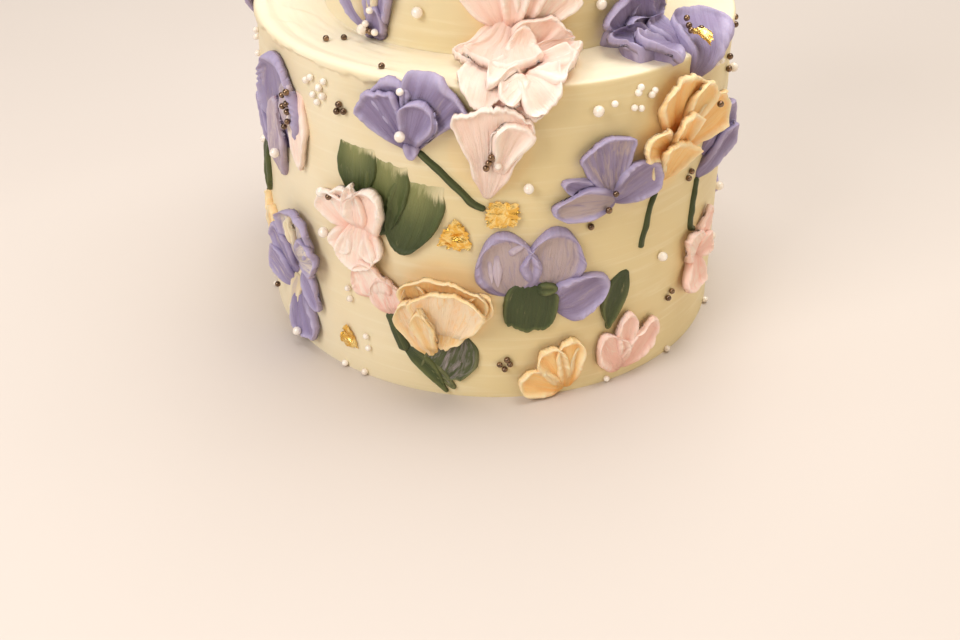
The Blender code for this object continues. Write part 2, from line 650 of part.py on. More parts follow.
LILAC_RIM_BACK = Bloom("lilac_rim_back_left", "lilac", (
    Petal((-178, 132), (-170, 160), 24, SHELL, 2.4, 3.6, 3.5, 0.0, 0.8),
    Petal((-179, 131), (-192, 152), 18, SHELL, 2.4, 3.6, 3.0, 0.0, 0.8),
), ())
LEAF_EDGE = Bloom("leaf_edge_left", "green", (
    Petal((-143, 85), (-141, 62), 12, SMEAR, 1.3, 2.2),))
PEACH_EDGE = Bloom("peach_fan_edge_left", "peach", (
    Petal((-141, 34), (-131, 55), 14, SHELL, 2.6, 3.6, 1.0, 0.0, 0.8),
    Petal((-142, 34), (-147, 57), 14, SHELL, 2.6, 3.6, 1.0, 0.0, 0.8),
), ())

# Sides, back and upper tier, in the manner of the front

BACK = (
    turned_copy(PEACH_RIGHT, "peach_ruffle_back_left", (-214, 78), -1.0),
    turned_copy(LILAC_TRIO, "lilac_trio_back_left", (-276, 98)),
    turned_copy(LEAF_TRIO, "leaf_trio_back_left", (-276, 98), 1.0, LILAC_TRIO),
    turned_copy(PINK_LEFT, "pink_ruffle_back_left", (-305, 42)),
    turned_copy(GREEN_LEAF_RIGHT, "leaf_back_left", (-250, 66)),
    turned_copy(LILAC_THREE, "lilac_three_back", (-222, 22), -1.0),
    turned_copy(PEACH_FRONT, "peach_cup_back", (312, 74)),
    turned_copy(PINK_FAN, "pink_fan_back", (266, 16)),
    turned_copy(GREEN_LEAF_MIDDLE, "leaf_back", (276, 116)),
    turned_copy(GREEN_LEAF_RIGHT, "leaf_back_low", (342, 54), -1.0),
    turned_copy(LILAC_PAIR, "lilac_pair_back", (232, 118.25), -1.0),
    turned_copy(LILAC_PAIR_STEM, "lilac_pair_back_stem", (232, 118.25), -1.0, LILAC_PAIR),
    turned_copy(LEAF_POINTED, "leaf_pointed_back", (178, 88)),
    turned_copy(LILAC_THREE, "lilac_three_back_right", (206, 44)),
)

CROWN = (
    turned_copy(PEACH_RIGHT, "peach_ruffle_upper", (-58, 232), -1.0),
    turned_copy(LILAC_TRIO, "lilac_trio_upper", (62, 246)),
    turned_copy(LEAF_POINTED, "leaf_pointed_upper", (100, 222)),
    turned_copy(LILAC_PAIR, "lilac_pair_upper", (-8, 279), -1.0),
    turned_copy(PINK_FAN, "pink_fan_upper", (-128, 246), -1.0),
    turned_copy(PEACH_FAN, "peach_fan_upper", (150, 226)),
    turned_copy(PINK_FAN, "pink_fan_upper_back", (-292, 232)),
    turned_copy(LILAC_THREE, "lilac_three_upper_back", (262, 250)),
)

BLOOMS = (
    LILAC_TULIP, LILAC_PAIR, LILAC_PAIR_STEM, PINK_TRUMPET, PINK_FALL, PINK_BURST, PINK_CREST,
    LILAC_RUFFLE, PEACH_RIGHT, LILAC_BEHIND, LILAC_BEHIND_STEM, LILAC_THREE, LILAC_THREE_STEM,
    PINK_LEFT, GREEN_LEAF_RIGHT, GREEN_LEAF_MIDDLE, GREEN_LEAF_LEFT, PEACH_FRONT, PINK_LEFT_LOW,
    LEAF_STRIP, LEAF_LOW, LEAF_GREY, LILAC_CREAM, LEAF_TRIO, LILAC_TRIO, LEAF_POINTED, PINK_FAN,
    PEACH_FAN, PINK_EDGE, LILAC_CREAM_UPPER, LILAC_RIM_BACK, LEAF_EDGE, PEACH_EDGE) + BACK + CROWN

# Sugar on the bare icing of each tier
LOWER_BALLS = (
    Balls(LARGE_PEARL, ((41.5, 134), (14, 104), (81, 57), (150, 120), (190, 100), (-200, 118),
                        (-300, 110), (300, 30))),
    Balls(SMALL_PEARL, ((-83, 137), (-75, 137.5), (-78, 134), (-82, 130), (-76, 131), (58.5, 132),
                        (62, 131), (60, 138), (61, 140), (67, 135.5), (68.5, 137), (49, 135.5),
                        (-67, 44), (-66, 39), (-58, 22), (-57, 16), (-144, 137), (-149, 132),
                        (-145, 126), (118, 135), (112, 136), (-71, 1.9), (-59.5, 1.9), (54, 1.9),
                        (92, 1.9), (-190, 42), (296, 126))),
    Balls(DARK_BALL, ((-67, 130), (-68.2, 126.8), (-64.6, 127.6), (-92.5, 159.7), (-87.6, 165.8),
                      (-48.6, 149.4), (3.8, 18.5), (7, 21), (6, 16), (8.3, 18.6), (89, 31.5),
                      (91.5, 34), (134, 131), (135, 125), (98.5, 91.5), (96.5, 89), (41.5, 83),
                      (244, 60), (-330, 84))),
)
UPPER_BALLS = (
    Balls(LARGE_PEARL, ((-44.9, 192), (62.3, 194), (110, 262), (-170, 220), (200, 205))),
    Balls(SMALL_PEARL, ((48, 276), (53, 280), (-98, 216), (-102, 221), (330, 200), (335, 204))),
    Balls(DARK_BALL, ((84, 222), (88, 225), (-86, 272), (-82, 275), (-200, 262))),
)
FLAKES = (
    Petal((-16, 73), (-15, 88), 13, PAD, 0.9, 1.1, 0.0, 0.0, 1.5),
    Petal((4, 86), (4, 97.5), 12, PAD, 1.1, 1.4, 0.0, 0.0, 1.5),
    Petal((-69, 11), (-68, 24), 10, PAD, 0.8, 1.0, 0.0, 0.0, 1.2),
    Petal((258, 84), (260, 97), 12, PAD, 0.9, 1.1, 0.0, 0.0, 1.5),
    Petal((-262, 8), (-264, 20), 12, PAD, 0.9, 1.1, 0.0, 0.0, 1.5),
)

# Flowers under which another one lies: the one beneath is cut clear of the one above
BENEATH = {
    "pink_fall_ledge": ("pink_trumpet_rim", "lilac_pair_rim"),
    "lilac_pair_stem": ("lilac_pair_rim",),
    "pink_trumpet_rim": ("lilac_pair_rim",),
    "pink_burst_ledge": ("pink_trumpet_rim", "pink_fall_ledge"),
    "pink_crest_upper": ("pink_fall_ledge", "pink_burst_ledge"),
    "peach_ruffle_right": ("lilac_ruffle_ledge",),
    "lilac_behind_peach": ("peach_ruffle_right", "lilac_ruffle_ledge"),
    "lilac_behind_stem": ("lilac_behind_peach", "pink_ruffle_edge"),
    "lilac_three_petal": ("peach_ruffle_right",),
    "lilac_three_stem": ("lilac_three_petal", "peach_ruffle_right"),
    "leaf_large_right": ("pink_ruffle_left",),
    "leaf_large_middle": ("leaf_large_right", "pink_ruffle_left"),
    "leaf_large_left": ("leaf_large_middle", "pink_ruffle_left"),
    "pink_pair_left": ("pink_ruffle_left", "peach_cup_front"),
    "leaf_strip_front": ("pink_pair_left", "peach_cup_front"),
    "leaf_low_front": ("leaf_strip_front", "peach_cup_front"),
    "leaf_grey_front": ("peach_cup_front", "leaf_low_front"),
    "lilac_trio_front": ("leaf_trio_front",),
    "pink_fan_right": ("leaf_pointed_right",),
    "lilac_trio_back_left": ("leaf_trio_back_left", "peach_ruffle_back_left"),
}


def main():
    """Build every node of the cake."""
    for old in list(bpy.data.objects):
        bpy.data.objects.remove(old)
    seeds = {bloom.name: (bloom, seed) for seed, bloom in enumerate(BLOOMS)}
    flowers = [build_bloom(bloom, seed, [seeds[name] for name in BENEATH.get(bloom.name, ())])
               for seed, bloom in enumerate(BLOOMS)]
    lower = turned("lower_tier", ((0.0, 0.0),) + lower_outline(0.0) + ((0.0, LOWER_HEIGHT - GAP),))
    flakes = [add_object("flake", petal_mesh(flake, 0, order)) for order, flake in enumerate(FLAKES)]
    combine(lower, ball_objects(lower, LOWER_BALLS, flowers) + flakes, "UNION")
    finish(lower, "buttercream")
    upper = turned("upper_tier", ((0.0, LOWER_HEIGHT),) + upper_outline(0.0) + ((0.0, CAKE_HEIGHT),))
    combine(upper, ball_objects(upper, UPPER_BALLS, flowers), "UNION")
    finish(upper, "buttercream")


main()
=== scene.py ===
"""Dress of a two-tier buttercream cake: knife-worked icing, palette-knife flowers, pearls and gold leaf.

Lengths are in millimetres until a mesh is written. A place on the icing is (arc, climb): arc runs
round the cake at 110 mm from its axis, from the middle of the front to the right, and climb goes up
the lower wall, in over the ledge, up the upper wall and in over the top.
"""

import logging
import math
from dataclasses import dataclass, field, replace
from enum import Enum

import bpy
import numpy as np
from mathutils import Matrix, Vector
from mathutils.kdtree import KDTree

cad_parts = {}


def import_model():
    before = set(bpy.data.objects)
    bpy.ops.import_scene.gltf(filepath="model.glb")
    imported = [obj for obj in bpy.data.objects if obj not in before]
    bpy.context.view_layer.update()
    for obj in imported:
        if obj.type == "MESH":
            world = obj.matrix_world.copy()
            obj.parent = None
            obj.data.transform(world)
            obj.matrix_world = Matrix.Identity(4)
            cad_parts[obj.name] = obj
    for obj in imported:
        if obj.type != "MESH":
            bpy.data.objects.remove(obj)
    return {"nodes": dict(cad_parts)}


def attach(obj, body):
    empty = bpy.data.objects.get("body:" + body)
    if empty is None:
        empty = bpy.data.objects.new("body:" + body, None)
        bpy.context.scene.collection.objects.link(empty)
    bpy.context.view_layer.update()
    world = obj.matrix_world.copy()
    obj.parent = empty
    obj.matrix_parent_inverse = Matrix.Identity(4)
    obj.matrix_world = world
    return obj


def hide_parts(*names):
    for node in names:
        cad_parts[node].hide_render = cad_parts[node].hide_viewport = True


LOG = logging.getLogger("cake")
MM = 0.001
ARC_RADIUS = 110.0
LEAST_TURN = 1e-3

Place = tuple[float, float]
Triple = tuple[float, float, float]
Colour = tuple[float, float, float]


def smooth(value: np.ndarray | float) -> np.ndarray | float:
    """Eased step from 0 to 1."""
    held = np.clip(value, 0.0, 1.0)
    return held * held * (3.0 - 2.0 * held)


def wander(values: np.ndarray, step: float, seed: int) -> np.ndarray:
    """Smooth seeded wave of unit size along one direction.

    Args:
        values: Places along the direction, in mm.
        step: Length over which the wave changes, in mm.
        seed: Number that picks the wave.
    Returns:
        Heights from -1 to 1, shaped as the values.
    """
    table = np.random.default_rng(seed).uniform(-1.0, 1.0, 1024)
    scaled = np.asarray(values) / step + 4096.0
    cell = np.floor(scaled).astype(int)
    share = smooth(scaled - cell)
    return table[cell % 1024] * (1.0 - share) + table[(cell + 1) % 1024] * share


def wander_over(first: np.ndarray, second: np.ndarray, seed: int) -> np.ndarray:
    """Smooth seeded wave over two directions, each already divided by its step.

    Args:
        first: Scaled places along the first direction.
        second: Scaled places along the second direction.
        seed: Number that picks the wave.
    Returns:
        Heights from -1 to 1.
    """
    table = np.random.default_rng(seed).uniform(-1.0, 1.0, (256, 256))
    first, second = np.broadcast_arrays(first + 2048.0, second + 2048.0)
    row = np.floor(first).astype(int)
    column = np.floor(second).astype(int)
    down = smooth(first - row)
    over = smooth(second - column)
    top = table[row % 256, column % 256] * (1 - over) + table[row % 256, (column + 1) % 256] * over
    low = (table[(row + 1) % 256, column % 256] * (1 - over)
           + table[(row + 1) % 256, (column + 1) % 256] * over)
    return top * (1 - down) + low * down


@dataclass
class CakeOutline:
    """The bare cake's outline, with its corners eased, and the way from the icing to space."""

    lower_foot: float = 110.1
    lower_rim: float = 106.5
    lower_height: float = 145.6
    upper_foot: float = 76.0
    upper_rim: float = 75.0
    upper_height: float = 130.4
    rim_ease: float = 1.2
    nook_ease: float = 4.0
    below: float = 30.0
    beyond: float = 20.0
    step: float = 0.25
    table: np.ndarray = field(init=False, repr=False)

    @property
    def ledge(self) -> float:
        """Width of the ledge between the tiers."""
        return self.lower_rim - self.upper_foot

    @property
    def nook(self) -> float:
        """Climb at the foot of the upper wall."""
        return self.lower_height + self.ledge

    @property
    def crown(self) -> float:
        """Climb at the upper rim."""
        return self.nook + self.upper_height

    @property
    def middle(self) -> float:
        """Climb at the middle of the top."""
        return self.crown + self.upper_rim

    @property
    def height(self) -> float:
        """Height of the whole cake."""
        return self.lower_height + self.upper_height

    def __post_init__(self) -> None:
        """Ease the outline once and keep it as a table."""
        climbs = np.arange(-self.below, self.middle + self.beyond, self.step)
        corners = (-self.below, 0.0, self.lower_height, self.nook, self.crown, self.middle)
        slope = (self.lower_foot - self.lower_rim) / self.lower_height
        radii = (self.lower_foot + self.below * slope, self.lower_foot, self.lower_rim, self.upper_foot,
                 self.upper_rim, 0.0)
        heights = (-self.below, 0.0, self.lower_height, self.lower_height, self.height, self.height)
        radius = np.interp(climbs, corners, radii)
        height = np.interp(climbs, corners, heights)
        near_nook = np.exp(-((climbs - self.nook) / (2.5 * self.nook_ease)) ** 2)
        eased = []
        for line in (radius, height):
            rims = self.eased(line, self.rim_ease)
            nooks = self.eased(line, self.nook_ease)
            eased.append(rims * (1.0 - near_nook) + nooks * near_nook)
        run = np.gradient(eased[0])
        rise = np.gradient(eased[1])
        size = np.hypot(run, rise) + 1e-9
        self.table = np.stack((climbs, eased[0], eased[1], rise / size, -run / size))

    def eased(self, line: np.ndarray, width: float) -> np.ndarray:
        """The line with its corners rounded over a width in mm."""
        reach = int(4 * width / self.step)
        offsets = np.arange(-reach, reach + 1) * self.step
        weights = np.exp(-0.5 * (offsets / width) ** 2)
        padded = np.pad(line, reach, mode="edge")
        return np.convolve(padded, weights / weights.sum(), mode="valid")

    def radius_at(self, climb: np.ndarray | float) -> np.ndarray:
        """Distance from the axis at a climb."""
        return np.interp(climb, self.table[0], self.table[1])

    def point(self, arc: np.ndarray, climb: np.ndarray, out: np.ndarray,
              across: np.ndarray | float = 0.0) -> np.ndarray:
        """Places in space, in mm.

        Args:
            arc: Arc places at 110 mm.
            climb: Climb places.
            out: Distances off the icing.
            across: Further true distances round the wall.
        Returns:
            An array with x, y and z last.
        """
        radius, height, outward, upward = (np.interp(climb, self.table[0], row) for row in self.table[1:])
        bearing = arc / ARC_RADIUS + across / np.maximum(radius, 12.0)
        away = radius + out * outward
        return np.stack((away * np.sin(bearing), -away * np.cos(bearing), height + out * upward), axis=-1)


def stand_alone(mesh_object: bpy.types.Object) -> None:
    """Make one object the only selected and the active one."""
    bpy.ops.object.select_all(action="DESELECT")
    mesh_object.select_set(True)
    bpy.context.view_layer.objects.active = mesh_object


def read_points(mesh: bpy.types.Mesh) -> np.ndarray:
    """The mesh's vertex places as rows."""
    flat = np.empty(len(mesh.vertices) * 3, dtype=np.float32)
    mesh.vertices.foreach_get("co", flat)
    return flat.reshape(-1, 3).astype(float)


def write_points(mesh: bpy.types.Mesh, points: np.ndarray) -> None:
    """Put the vertices at rows of places in mm."""
    mesh.vertices.foreach_set("co", (points * MM).astype(np.float32).ravel())
    mesh.update()


def write_attribute(mesh: bpy.types.Mesh, name: str, rows: np.ndarray) -> None:
    """Keep rows of three numbers at the vertices under a name."""
    attribute = mesh.attributes.get(name) or mesh.attributes.new(name, "FLOAT_VECTOR", "POINT")
    attribute.data.foreach_set("vector", rows.astype(np.float32).ravel())


def joined(parts: list[bpy.types.Object], name: str) -> bpy.types.Object:
    """Join parts into one piece with a name."""
    bpy.ops.object.select_all(action="DESELECT")
    for part in parts:
        part.select_set(True)
    bpy.context.view_layer.objects.active = parts[0]
    if len(parts) > 1:
        bpy.ops.object.join()
    piece = bpy.context.view_layer.objects.active
    piece.name = name
    piece.data.name = name
    return piece


def copied(source: bpy.types.Object, name: str) -> bpy.types.Object:
    """A copy of a model with its own mesh."""
    twin = source.copy()
    twin.data = source.data.copy()
    twin.name = name
    bpy.context.collection.objects.link(twin)
    return twin


def slab(across: int, along: int) -> bpy.types.Object:
    """A flat closed slab with a grid of cells on each of its two faces."""
    bpy.ops.object.select_all(action="DESELECT")
    bpy.ops.mesh.primitive_grid_add(x_subdivisions=across, y_subdivisions=along, size=2.0)
    made = bpy.context.object
    bpy.ops.object.mode_set(mode="EDIT")
    bpy.ops.mesh.select_all(action="SELECT")
    bpy.ops.mesh.extrude_region_move(TRANSFORM_OT_translate={"value": (0.0, 0.0, -1.0)})
    bpy.ops.mesh.select_all(action="SELECT")
    bpy.ops.mesh.normals_make_consistent(inside=False)
    bpy.ops.object.mode_set(mode="OBJECT")
    return made


def dress(piece: bpy.types.Object, material: bpy.types.Material, slot: str, *nodes: str) -> None:
    """Give a finished piece its material and body, and hide the nodes that it replaces."""
    piece.data.materials.clear()
    piece.data.materials.append(material)
    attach(piece, "root")
    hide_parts(*nodes)
    LOG.info("%s: %d faces", piece.name, len(piece.data.polygons))


def rolled_edge(reach: np.ndarray, turn: np.ndarray) -> tuple[np.ndarray, np.ndarray]:
    """Where icing ends when it is rolled away from the cake.

    Args:
        reach: Flat distances past the line at which the roll starts.
        turn: Angles through which the icing has turned there.
    Returns:
        Rises off the icing, and distances past the line.
    """
    bent = np.abs(turn) >= LEAST_TURN
    safe = np.where(bent, turn, 1.0)
    rise = np.where(bent, reach * (1 - np.cos(turn)) / safe, 0.0)
    return rise, np.where(bent, reach * np.sin(turn) / safe, reach)


def linear(colour: Colour) -> tuple[float, float, float, float]:
    """A display colour, 0 to 255, as the shader wants it."""
    parts = [part / 255.0 for part in colour]
    worked = [part / 12.92 if part <= 0.04045 else ((part + 0.055) / 1.055) ** 2.4 for part in parts]
    return (worked[0], worked[1], worked[2], 1.0)


class Channel:
    """One output of a node, on which sums can be written."""

    def __init__(self, bench: "Bench", socket: bpy.types.NodeSocket) -> None:
        """Wrap a socket of a bench's node."""
        self.bench = bench
        self.socket = socket

    def sum_with(self, operation: str, first: object, second: object) -> "Channel":
        """A Math node on two values or channels."""
        node = self.bench.node("ShaderNodeMath", {"operation": operation}, {0: first, 1: second})
        return Channel(self.bench, node.outputs[0])

    def __add__(self, other: object) -> "Channel":
        """This plus the other."""
        return self.sum_with("ADD", self, other)

    def __radd__(self, other: object) -> "Channel":
        """The other plus this."""
        return self.sum_with("ADD", other, self)

    def __sub__(self, other: object) -> "Channel":
        """This less the other."""
        return self.sum_with("SUBTRACT", self, other)

    def __rsub__(self, other: object) -> "Channel":
        """The other less this."""
        return self.sum_with("SUBTRACT", other, self)

    def __mul__(self, other: object) -> "Channel":
        """This times the other."""
        return self.sum_with("MULTIPLY", self, other)

    def __rmul__(self, other: object) -> "Channel":
        """The other times this."""
        return self.sum_with("MULTIPLY", other, self)

    def eased(self, low: float, high: float) -> "Channel":
        """This, mapped smoothly from low and high to 0 and 1."""
        node = self.bench.node("ShaderNodeMapRange", {"interpolation_type": "SMOOTHSTEP"},
                               {"Value": self, "From Min": low, "From Max": high})
        return Channel(self.bench, node.outputs["Result"])


class Bench:
    """A material's node tree and the few ways in which nodes are added to it."""

    def __init__(self, name: str) -> None:
        """Start a material with only its output."""
        self.material = bpy.data.materials.new(name)
        self.material.use_nodes = True
        self.tree = self.material.node_tree
        self.tree.nodes.clear()

    def node(self, kind: str, settings: dict[str, object], inputs: dict[object, object]) -> bpy.types.Node:
        """Add a node.

        Args:
            kind: Blender's type of the node.
            settings: The node's own settings, set before its inputs.
            inputs: Values or channels for its sockets.
        Returns:
            The new node.
        """
        node = self.tree.nodes.new(kind)
        for key, value in settings.items():
            setattr(node, key, value)
        for key, value in inputs.items():
            if isinstance(value, Channel):
                self.tree.links.new(value.socket, node.inputs[key])
            else:
                node.inputs[key].default_value = value
        return node

    def attribute(self, name: str) -> Channel:
        """A vector kept at the vertices."""
        return Channel(self, self.node("ShaderNodeAttribute", {"attribute_name": name}, {}).outputs["Vector"])

    def share(self, name: str) -> Channel:
        """A number kept at the vertices."""
        return Channel(self, self.node("ShaderNodeAttribute", {"attribute_name": name}, {}).outputs["Fac"])

    def parts(self, vector: Channel) -> list[Channel]:
        """The three numbers of a vector."""
        node = self.node("ShaderNodeSeparateXYZ", {}, {0: vector})
        return [Channel(self, socket) for socket in node.outputs]

    def place(self) -> Channel:
        """Object coordinates in metres."""
        return Channel(self, self.node("ShaderNodeTexCoord", {}, {}).outputs["Object"])

    def scaled(self, vector: Channel, scale: Triple) -> Channel:
        """A vector multiplied part by part."""
        node = self.node("ShaderNodeVectorMath", {"operation": "MULTIPLY"}, {0: vector, 1: scale})
        return Channel(self, node.outputs[0])

    def noise(self, vector: Channel, scale: float, detail: float = 3.0, rough: float = 0.55,
              twist: float = 0.0) -> Channel:
        """Cloudy noise from 0 to 1."""
        node = self.node("ShaderNodeTexNoise", {}, {"Vector": vector, "Scale": scale, "Detail": detail,
                                                    "Roughness": rough, "Distortion": twist})
        return Channel(self, node.outputs[0])

    def mix(self, factor: object, first: object, second: object) -> Channel:
        """A colour between two colours."""
        node = self.node("ShaderNodeMix", {"data_type": "RGBA"}, {0: factor, 6: first, 7: second})
        return Channel(self, node.outputs[2])

    def bump(self, height: Channel, depth: float, strength: float = 1.0) -> Channel:
        """A normal from a height, with its depth in mm."""
        node = self.node("ShaderNodeBump", {}, {"Height": height, "Distance": depth * MM,
                                                "Strength": strength})
        return Channel(self, node.outputs[0])

    def finish(self, inputs: dict[str, object]) -> bpy.types.Material:
        """Close the tree with a Principled shader."""
        shader = self.node("ShaderNodeBsdfPrincipled", {}, inputs)
        output = self.node("ShaderNodeOutputMaterial", {}, {})
        self.tree.links.new(shader.outputs[0], output.inputs[0])
        return self.material


@dataclass(frozen=True)
class IcingFinish:
    """Coloured buttercream that keeps the streaks of the knife."""

    name: str
    slot: str
    base: Colour
    shade: Colour
    # streak colour, and the painted highlight on rims
    light: Colour
    # painted shade: colour of hollows, roots and fold valleys; on leaves the darker tip's own tone
    deep: Colour
    smear: Colour
    roughness: float = 0.46
    streaks: float = 0.65
    soft: float = 0.12
    grain: float = 0.55
    feather: float = 2.2

    def material(self) -> bpy.types.Material:
        """Streaked colour, painted highlights on rims, painted shade in hollows and a second icing dragged
        through.
        """
        bench = Bench(self.name)
        stroke = bench.attribute("stroke")
        rim, deep, smear = bench.parts(bench.attribute("tint"))
        place = bench.place()
        broad = bench.noise(bench.scaled(stroke, (0.42, 0.035, 1.0)), 1.0, 3.0, 0.6, 0.3)
        fine = bench.noise(bench.scaled(stroke, (1.9, 0.09, 1.0)), 1.0, 4.0, 0.6, 0.2)
        cloud = bench.noise(place, 140.0, 3.0)
        drag = bench.noise(bench.scaled(stroke, (0.40, 0.08, 1.0)), 1.0, 5.0, 0.64, 1.2)
        colour = bench.mix(broad.eased(0.35, 0.72) * self.streaks, linear(self.base), linear(self.shade))
        colour = bench.mix(fine.eased(0.5, 0.8) * (0.45 * self.streaks), colour, linear(self.light))
        dragged = smear + (drag - 0.5) * self.feather
        colour = bench.mix(dragged.eased(0.25, 1.0), colour, linear(self.smear))
        # painted shade: hollows, roots and fold valleys take the deep colour; on leaves it darkens the tip
        colour = bench.mix(deep * (0.65 + 0.35 * cloud), colour, linear(self.deep))
        # painted highlight: rims take the light colour; on leaves a paler root, on stems a lit stripe
        colour = bench.mix(rim * 0.85, colour, linear(self.light))
        rough = self.roughness + 0.16 * (fine - 0.5) + 0.10 * (cloud - 0.5)
        grain = bench.noise(place, 900.0, 2.0)
        lumps = bench.noise(place, 330.0, 3.0, 0.6)
        height = fine * 0.9 + broad * 0.45 + lumps * 0.45 + grain * 0.14
        return bench.finish({
            "Base Color": colour, "Roughness": rough, "Normal": bench.bump(height, self.grain, 0.9),
            "Subsurface Weight": self.soft, "Subsurface Radius": (1.0, 0.62, 0.42),
            "Subsurface Scale": 2.2 * MM, "Specular IOR Level": 0.42})


@dataclass(frozen=True)
class WallFinish:
    """Ivory buttercream smoothed with a scraper, tinged beside the flowers."""

    name: str = "ivory_buttercream"
    slot: str = "ivory_icing"
    base: Colour = (240, 228, 199)
    warm: Colour = (237, 219, 180)
    # painted shade: the darker, more golden colour that the wall turns to on the right
    golden: Colour = (228, 209, 158)
    light: Colour = (251, 243, 220)
    # painted top light: the paler colour of the lower tier's ledge
    pale: Colour = (251, 241, 219)
    peach: Colour = (252, 212, 146)
    green: Colour = (196, 190, 140)
    lilac: Colour = (214, 196, 196)
    roughness: float = 0.44

    def material(self) -> bpy.types.Material:
        """Cloudy ivory with faint level scraper lines, painted golden shade to the right and painted light on
        the ledge.
        """
        bench = Bench(self.name)
        stroke = bench.attribute("stroke")
        peach, green, lilac = bench.parts(bench.attribute("stain"))
        place = bench.place()
        broad = bench.noise(place, 16.0, 3.0, 0.5, 0.4)
        lines = bench.noise(bench.scaled(stroke, (0.018, 0.30, 1.0)), 1.0, 4.0, 0.6, 0.5)
        fine = bench.noise(bench.scaled(stroke, (0.06, 1.4, 1.0)), 1.0, 3.0, 0.6, 0.3)
        mottle = bench.noise(place, 90.0, 4.0, 0.6)
        colour = bench.mix(broad.eased(0.35, 0.7) * 0.7, linear(self.base), linear(self.warm))
        # painted shade: the icing turns darker and more golden towards the right, by its place across the
        # cake
        painted_shade_x = bench.parts(place)[0]
        colour = bench.mix(painted_shade_x.eased(-0.085, 0.01) * 0.8, colour, linear(self.golden))
        colour = bench.mix(lines.eased(0.48, 0.75) * 0.28, colour, linear(self.light))
        # painted top light: the lower tier's ledge and top are made paler
        colour = bench.mix(bench.share("level") * 0.85, colour, linear(self.pale))
        colour = bench.mix(peach * (0.55 + 0.45 * mottle), colour, linear(self.peach))
        colour = bench.mix(green * mottle.eased(0.4, 0.7) * 0.5, colour, linear(self.green))
        colour = bench.mix(lilac * mottle.eased(0.4, 0.7) * 0.5, colour, linear(self.lilac))
        rough = self.roughness + 0.14 * (lines - 0.5) + 0.10 * (mottle - 0.5)
        height = lines * 0.28 + fine * 0.12 + mottle * 0.4
        return bench.finish({
            "Base Color": colour, "Roughness": rough, "Normal": bench.bump(height, 0.30, 0.8),
            "Subsurface Weight": 0.12, "Subsurface Radius": (1.0, 0.7, 0.45),
            "Subsurface Scale": 3.0 * MM, "Specular IOR Level": 0.4})


@dataclass(frozen=True)
class SugarFinish:
    """A polished sugar ball, pearly or dark."""

    name: str
    slot: str
    base: Colour
    wear_and_crease_shade: Colour
    roughness: float
    metallic: float
    coat: float

    def material(self) -> bpy.types.Material:
        """Polished shell with faint cloudy wear."""
        bench = Bench(self.name)
        place = bench.place()
        cloud = bench.noise(place, 260.0, 3.0)
        pits = bench.noise(place, 1500.0, 2.0)
        colour = bench.mix(cloud.eased(0.4, 0.65), linear(self.base), linear(self.wear_and_crease_shade))
        return bench.finish({
            "Base Color": colour, "Roughness": self.roughness + 0.12 * (cloud - 0.4),
            "Metallic": self.metallic, "Coat Weight": self.coat, "Coat Roughness": 0.12,
            "Normal": bench.bump(pits, 0.04, 0.6)})


@dataclass(frozen=True)
class LeafGoldFinish:
    """Edible gold leaf, crumpled on the icing."""

    name: str = "gold_leaf"
    slot: str = "ivory_icing"
    base: Colour = (243, 192, 92)
    # painted highlight: colour of the raised folds
    fold_highlight: Colour = (255, 226, 150)
    # painted shade: colour of the creases
    wear_and_crease_shade: Colour = (158, 104, 42)

    def material(self) -> bpy.types.Material:
        """Metal with a painted highlight on the folds and painted shade in the creases."""
        bench = Bench(self.name)
        place = bench.place()
        folds = bench.noise(place, 300.0, 3.0, 0.6, 1.0)
        creases = bench.noise(place, 1300.0, 3.0, 0.6, 0.8)
        # painted highlight: the folds are made paler
        colour = bench.mix(folds.eased(0.42, 0.62), linear(self.base), linear(self.fold_highlight))
        # painted shade: the creases are made dark
        colour = bench.mix(0.7 * (1 - creases.eased(0.26, 0.38)), colour, linear(self.wear_and_crease_shade))
        return bench.finish({
            "Base Color": colour, "Roughness": 0.08 + 0.20 * folds, "Metallic": 1.0,
            "Normal": bench.bump(folds + 0.4 * creases, 0.4, 1.0)})


class Tone(Enum):
    """Colours of buttercream on the knife."""

    LILAC = IcingFinish("lilac_buttercream", "lilac_icing", (158, 145, 182), (132, 116, 152),
                        (194, 184, 216), (92, 76, 112), (192, 174, 176))
    LILAC_WHITE = IcingFinish("lilac_white_buttercream", "lilac_icing", (162, 150, 190), (136, 121, 160),
                              (198, 188, 218), (96, 80, 116), (232, 220, 204))
    MAUVE = IcingFinish("mauve_buttercream", "lilac_icing", (190, 172, 190), (160, 142, 172),
                        (218, 206, 218), (120, 98, 118), (222, 208, 206))
    CREAM = IcingFinish("cream_buttercream", "ivory_icing", (238, 222, 188), (222, 200, 164),
                        (250, 240, 214), (186, 158, 122), (214, 200, 190))
    PINK = IcingFinish("pink_buttercream", "pink_icing", (255, 230, 218), (252, 216, 201),
                       (255, 246, 238), (250, 178, 156), (255, 242, 228), streaks=0.5)
    ROSE = IcingFinish("rose_buttercream", "pink_icing", (253, 212, 200), (248, 192, 180),
                       (255, 234, 224), (240, 150, 130), (255, 238, 226))
    PEACH = IcingFinish("peach_buttercream", "peach_icing", (255, 214, 152), (255, 198, 120),
                        (255, 240, 208), (255, 160, 44), (255, 232, 202), soft=0.28)
    LEAF = IcingFinish("leaf_buttercream", "green_icing", (70, 82, 46), (50, 60, 34),
                       (112, 118, 72), (36, 44, 26), (226, 210, 158), streaks=0.5)
    OLIVE = IcingFinish("olive_buttercream", "green_icing", (78, 90, 50), (58, 69, 38),
                        (150, 152, 98), (42, 50, 29), (240, 225, 187), streaks=0.35, feather=1.9)
    GREY = IcingFinish("grey_green_buttercream", "green_icing", (80, 90, 56), (62, 72, 46),
                       (126, 128, 88), (46, 54, 36), (166, 154, 160), streaks=0.5)


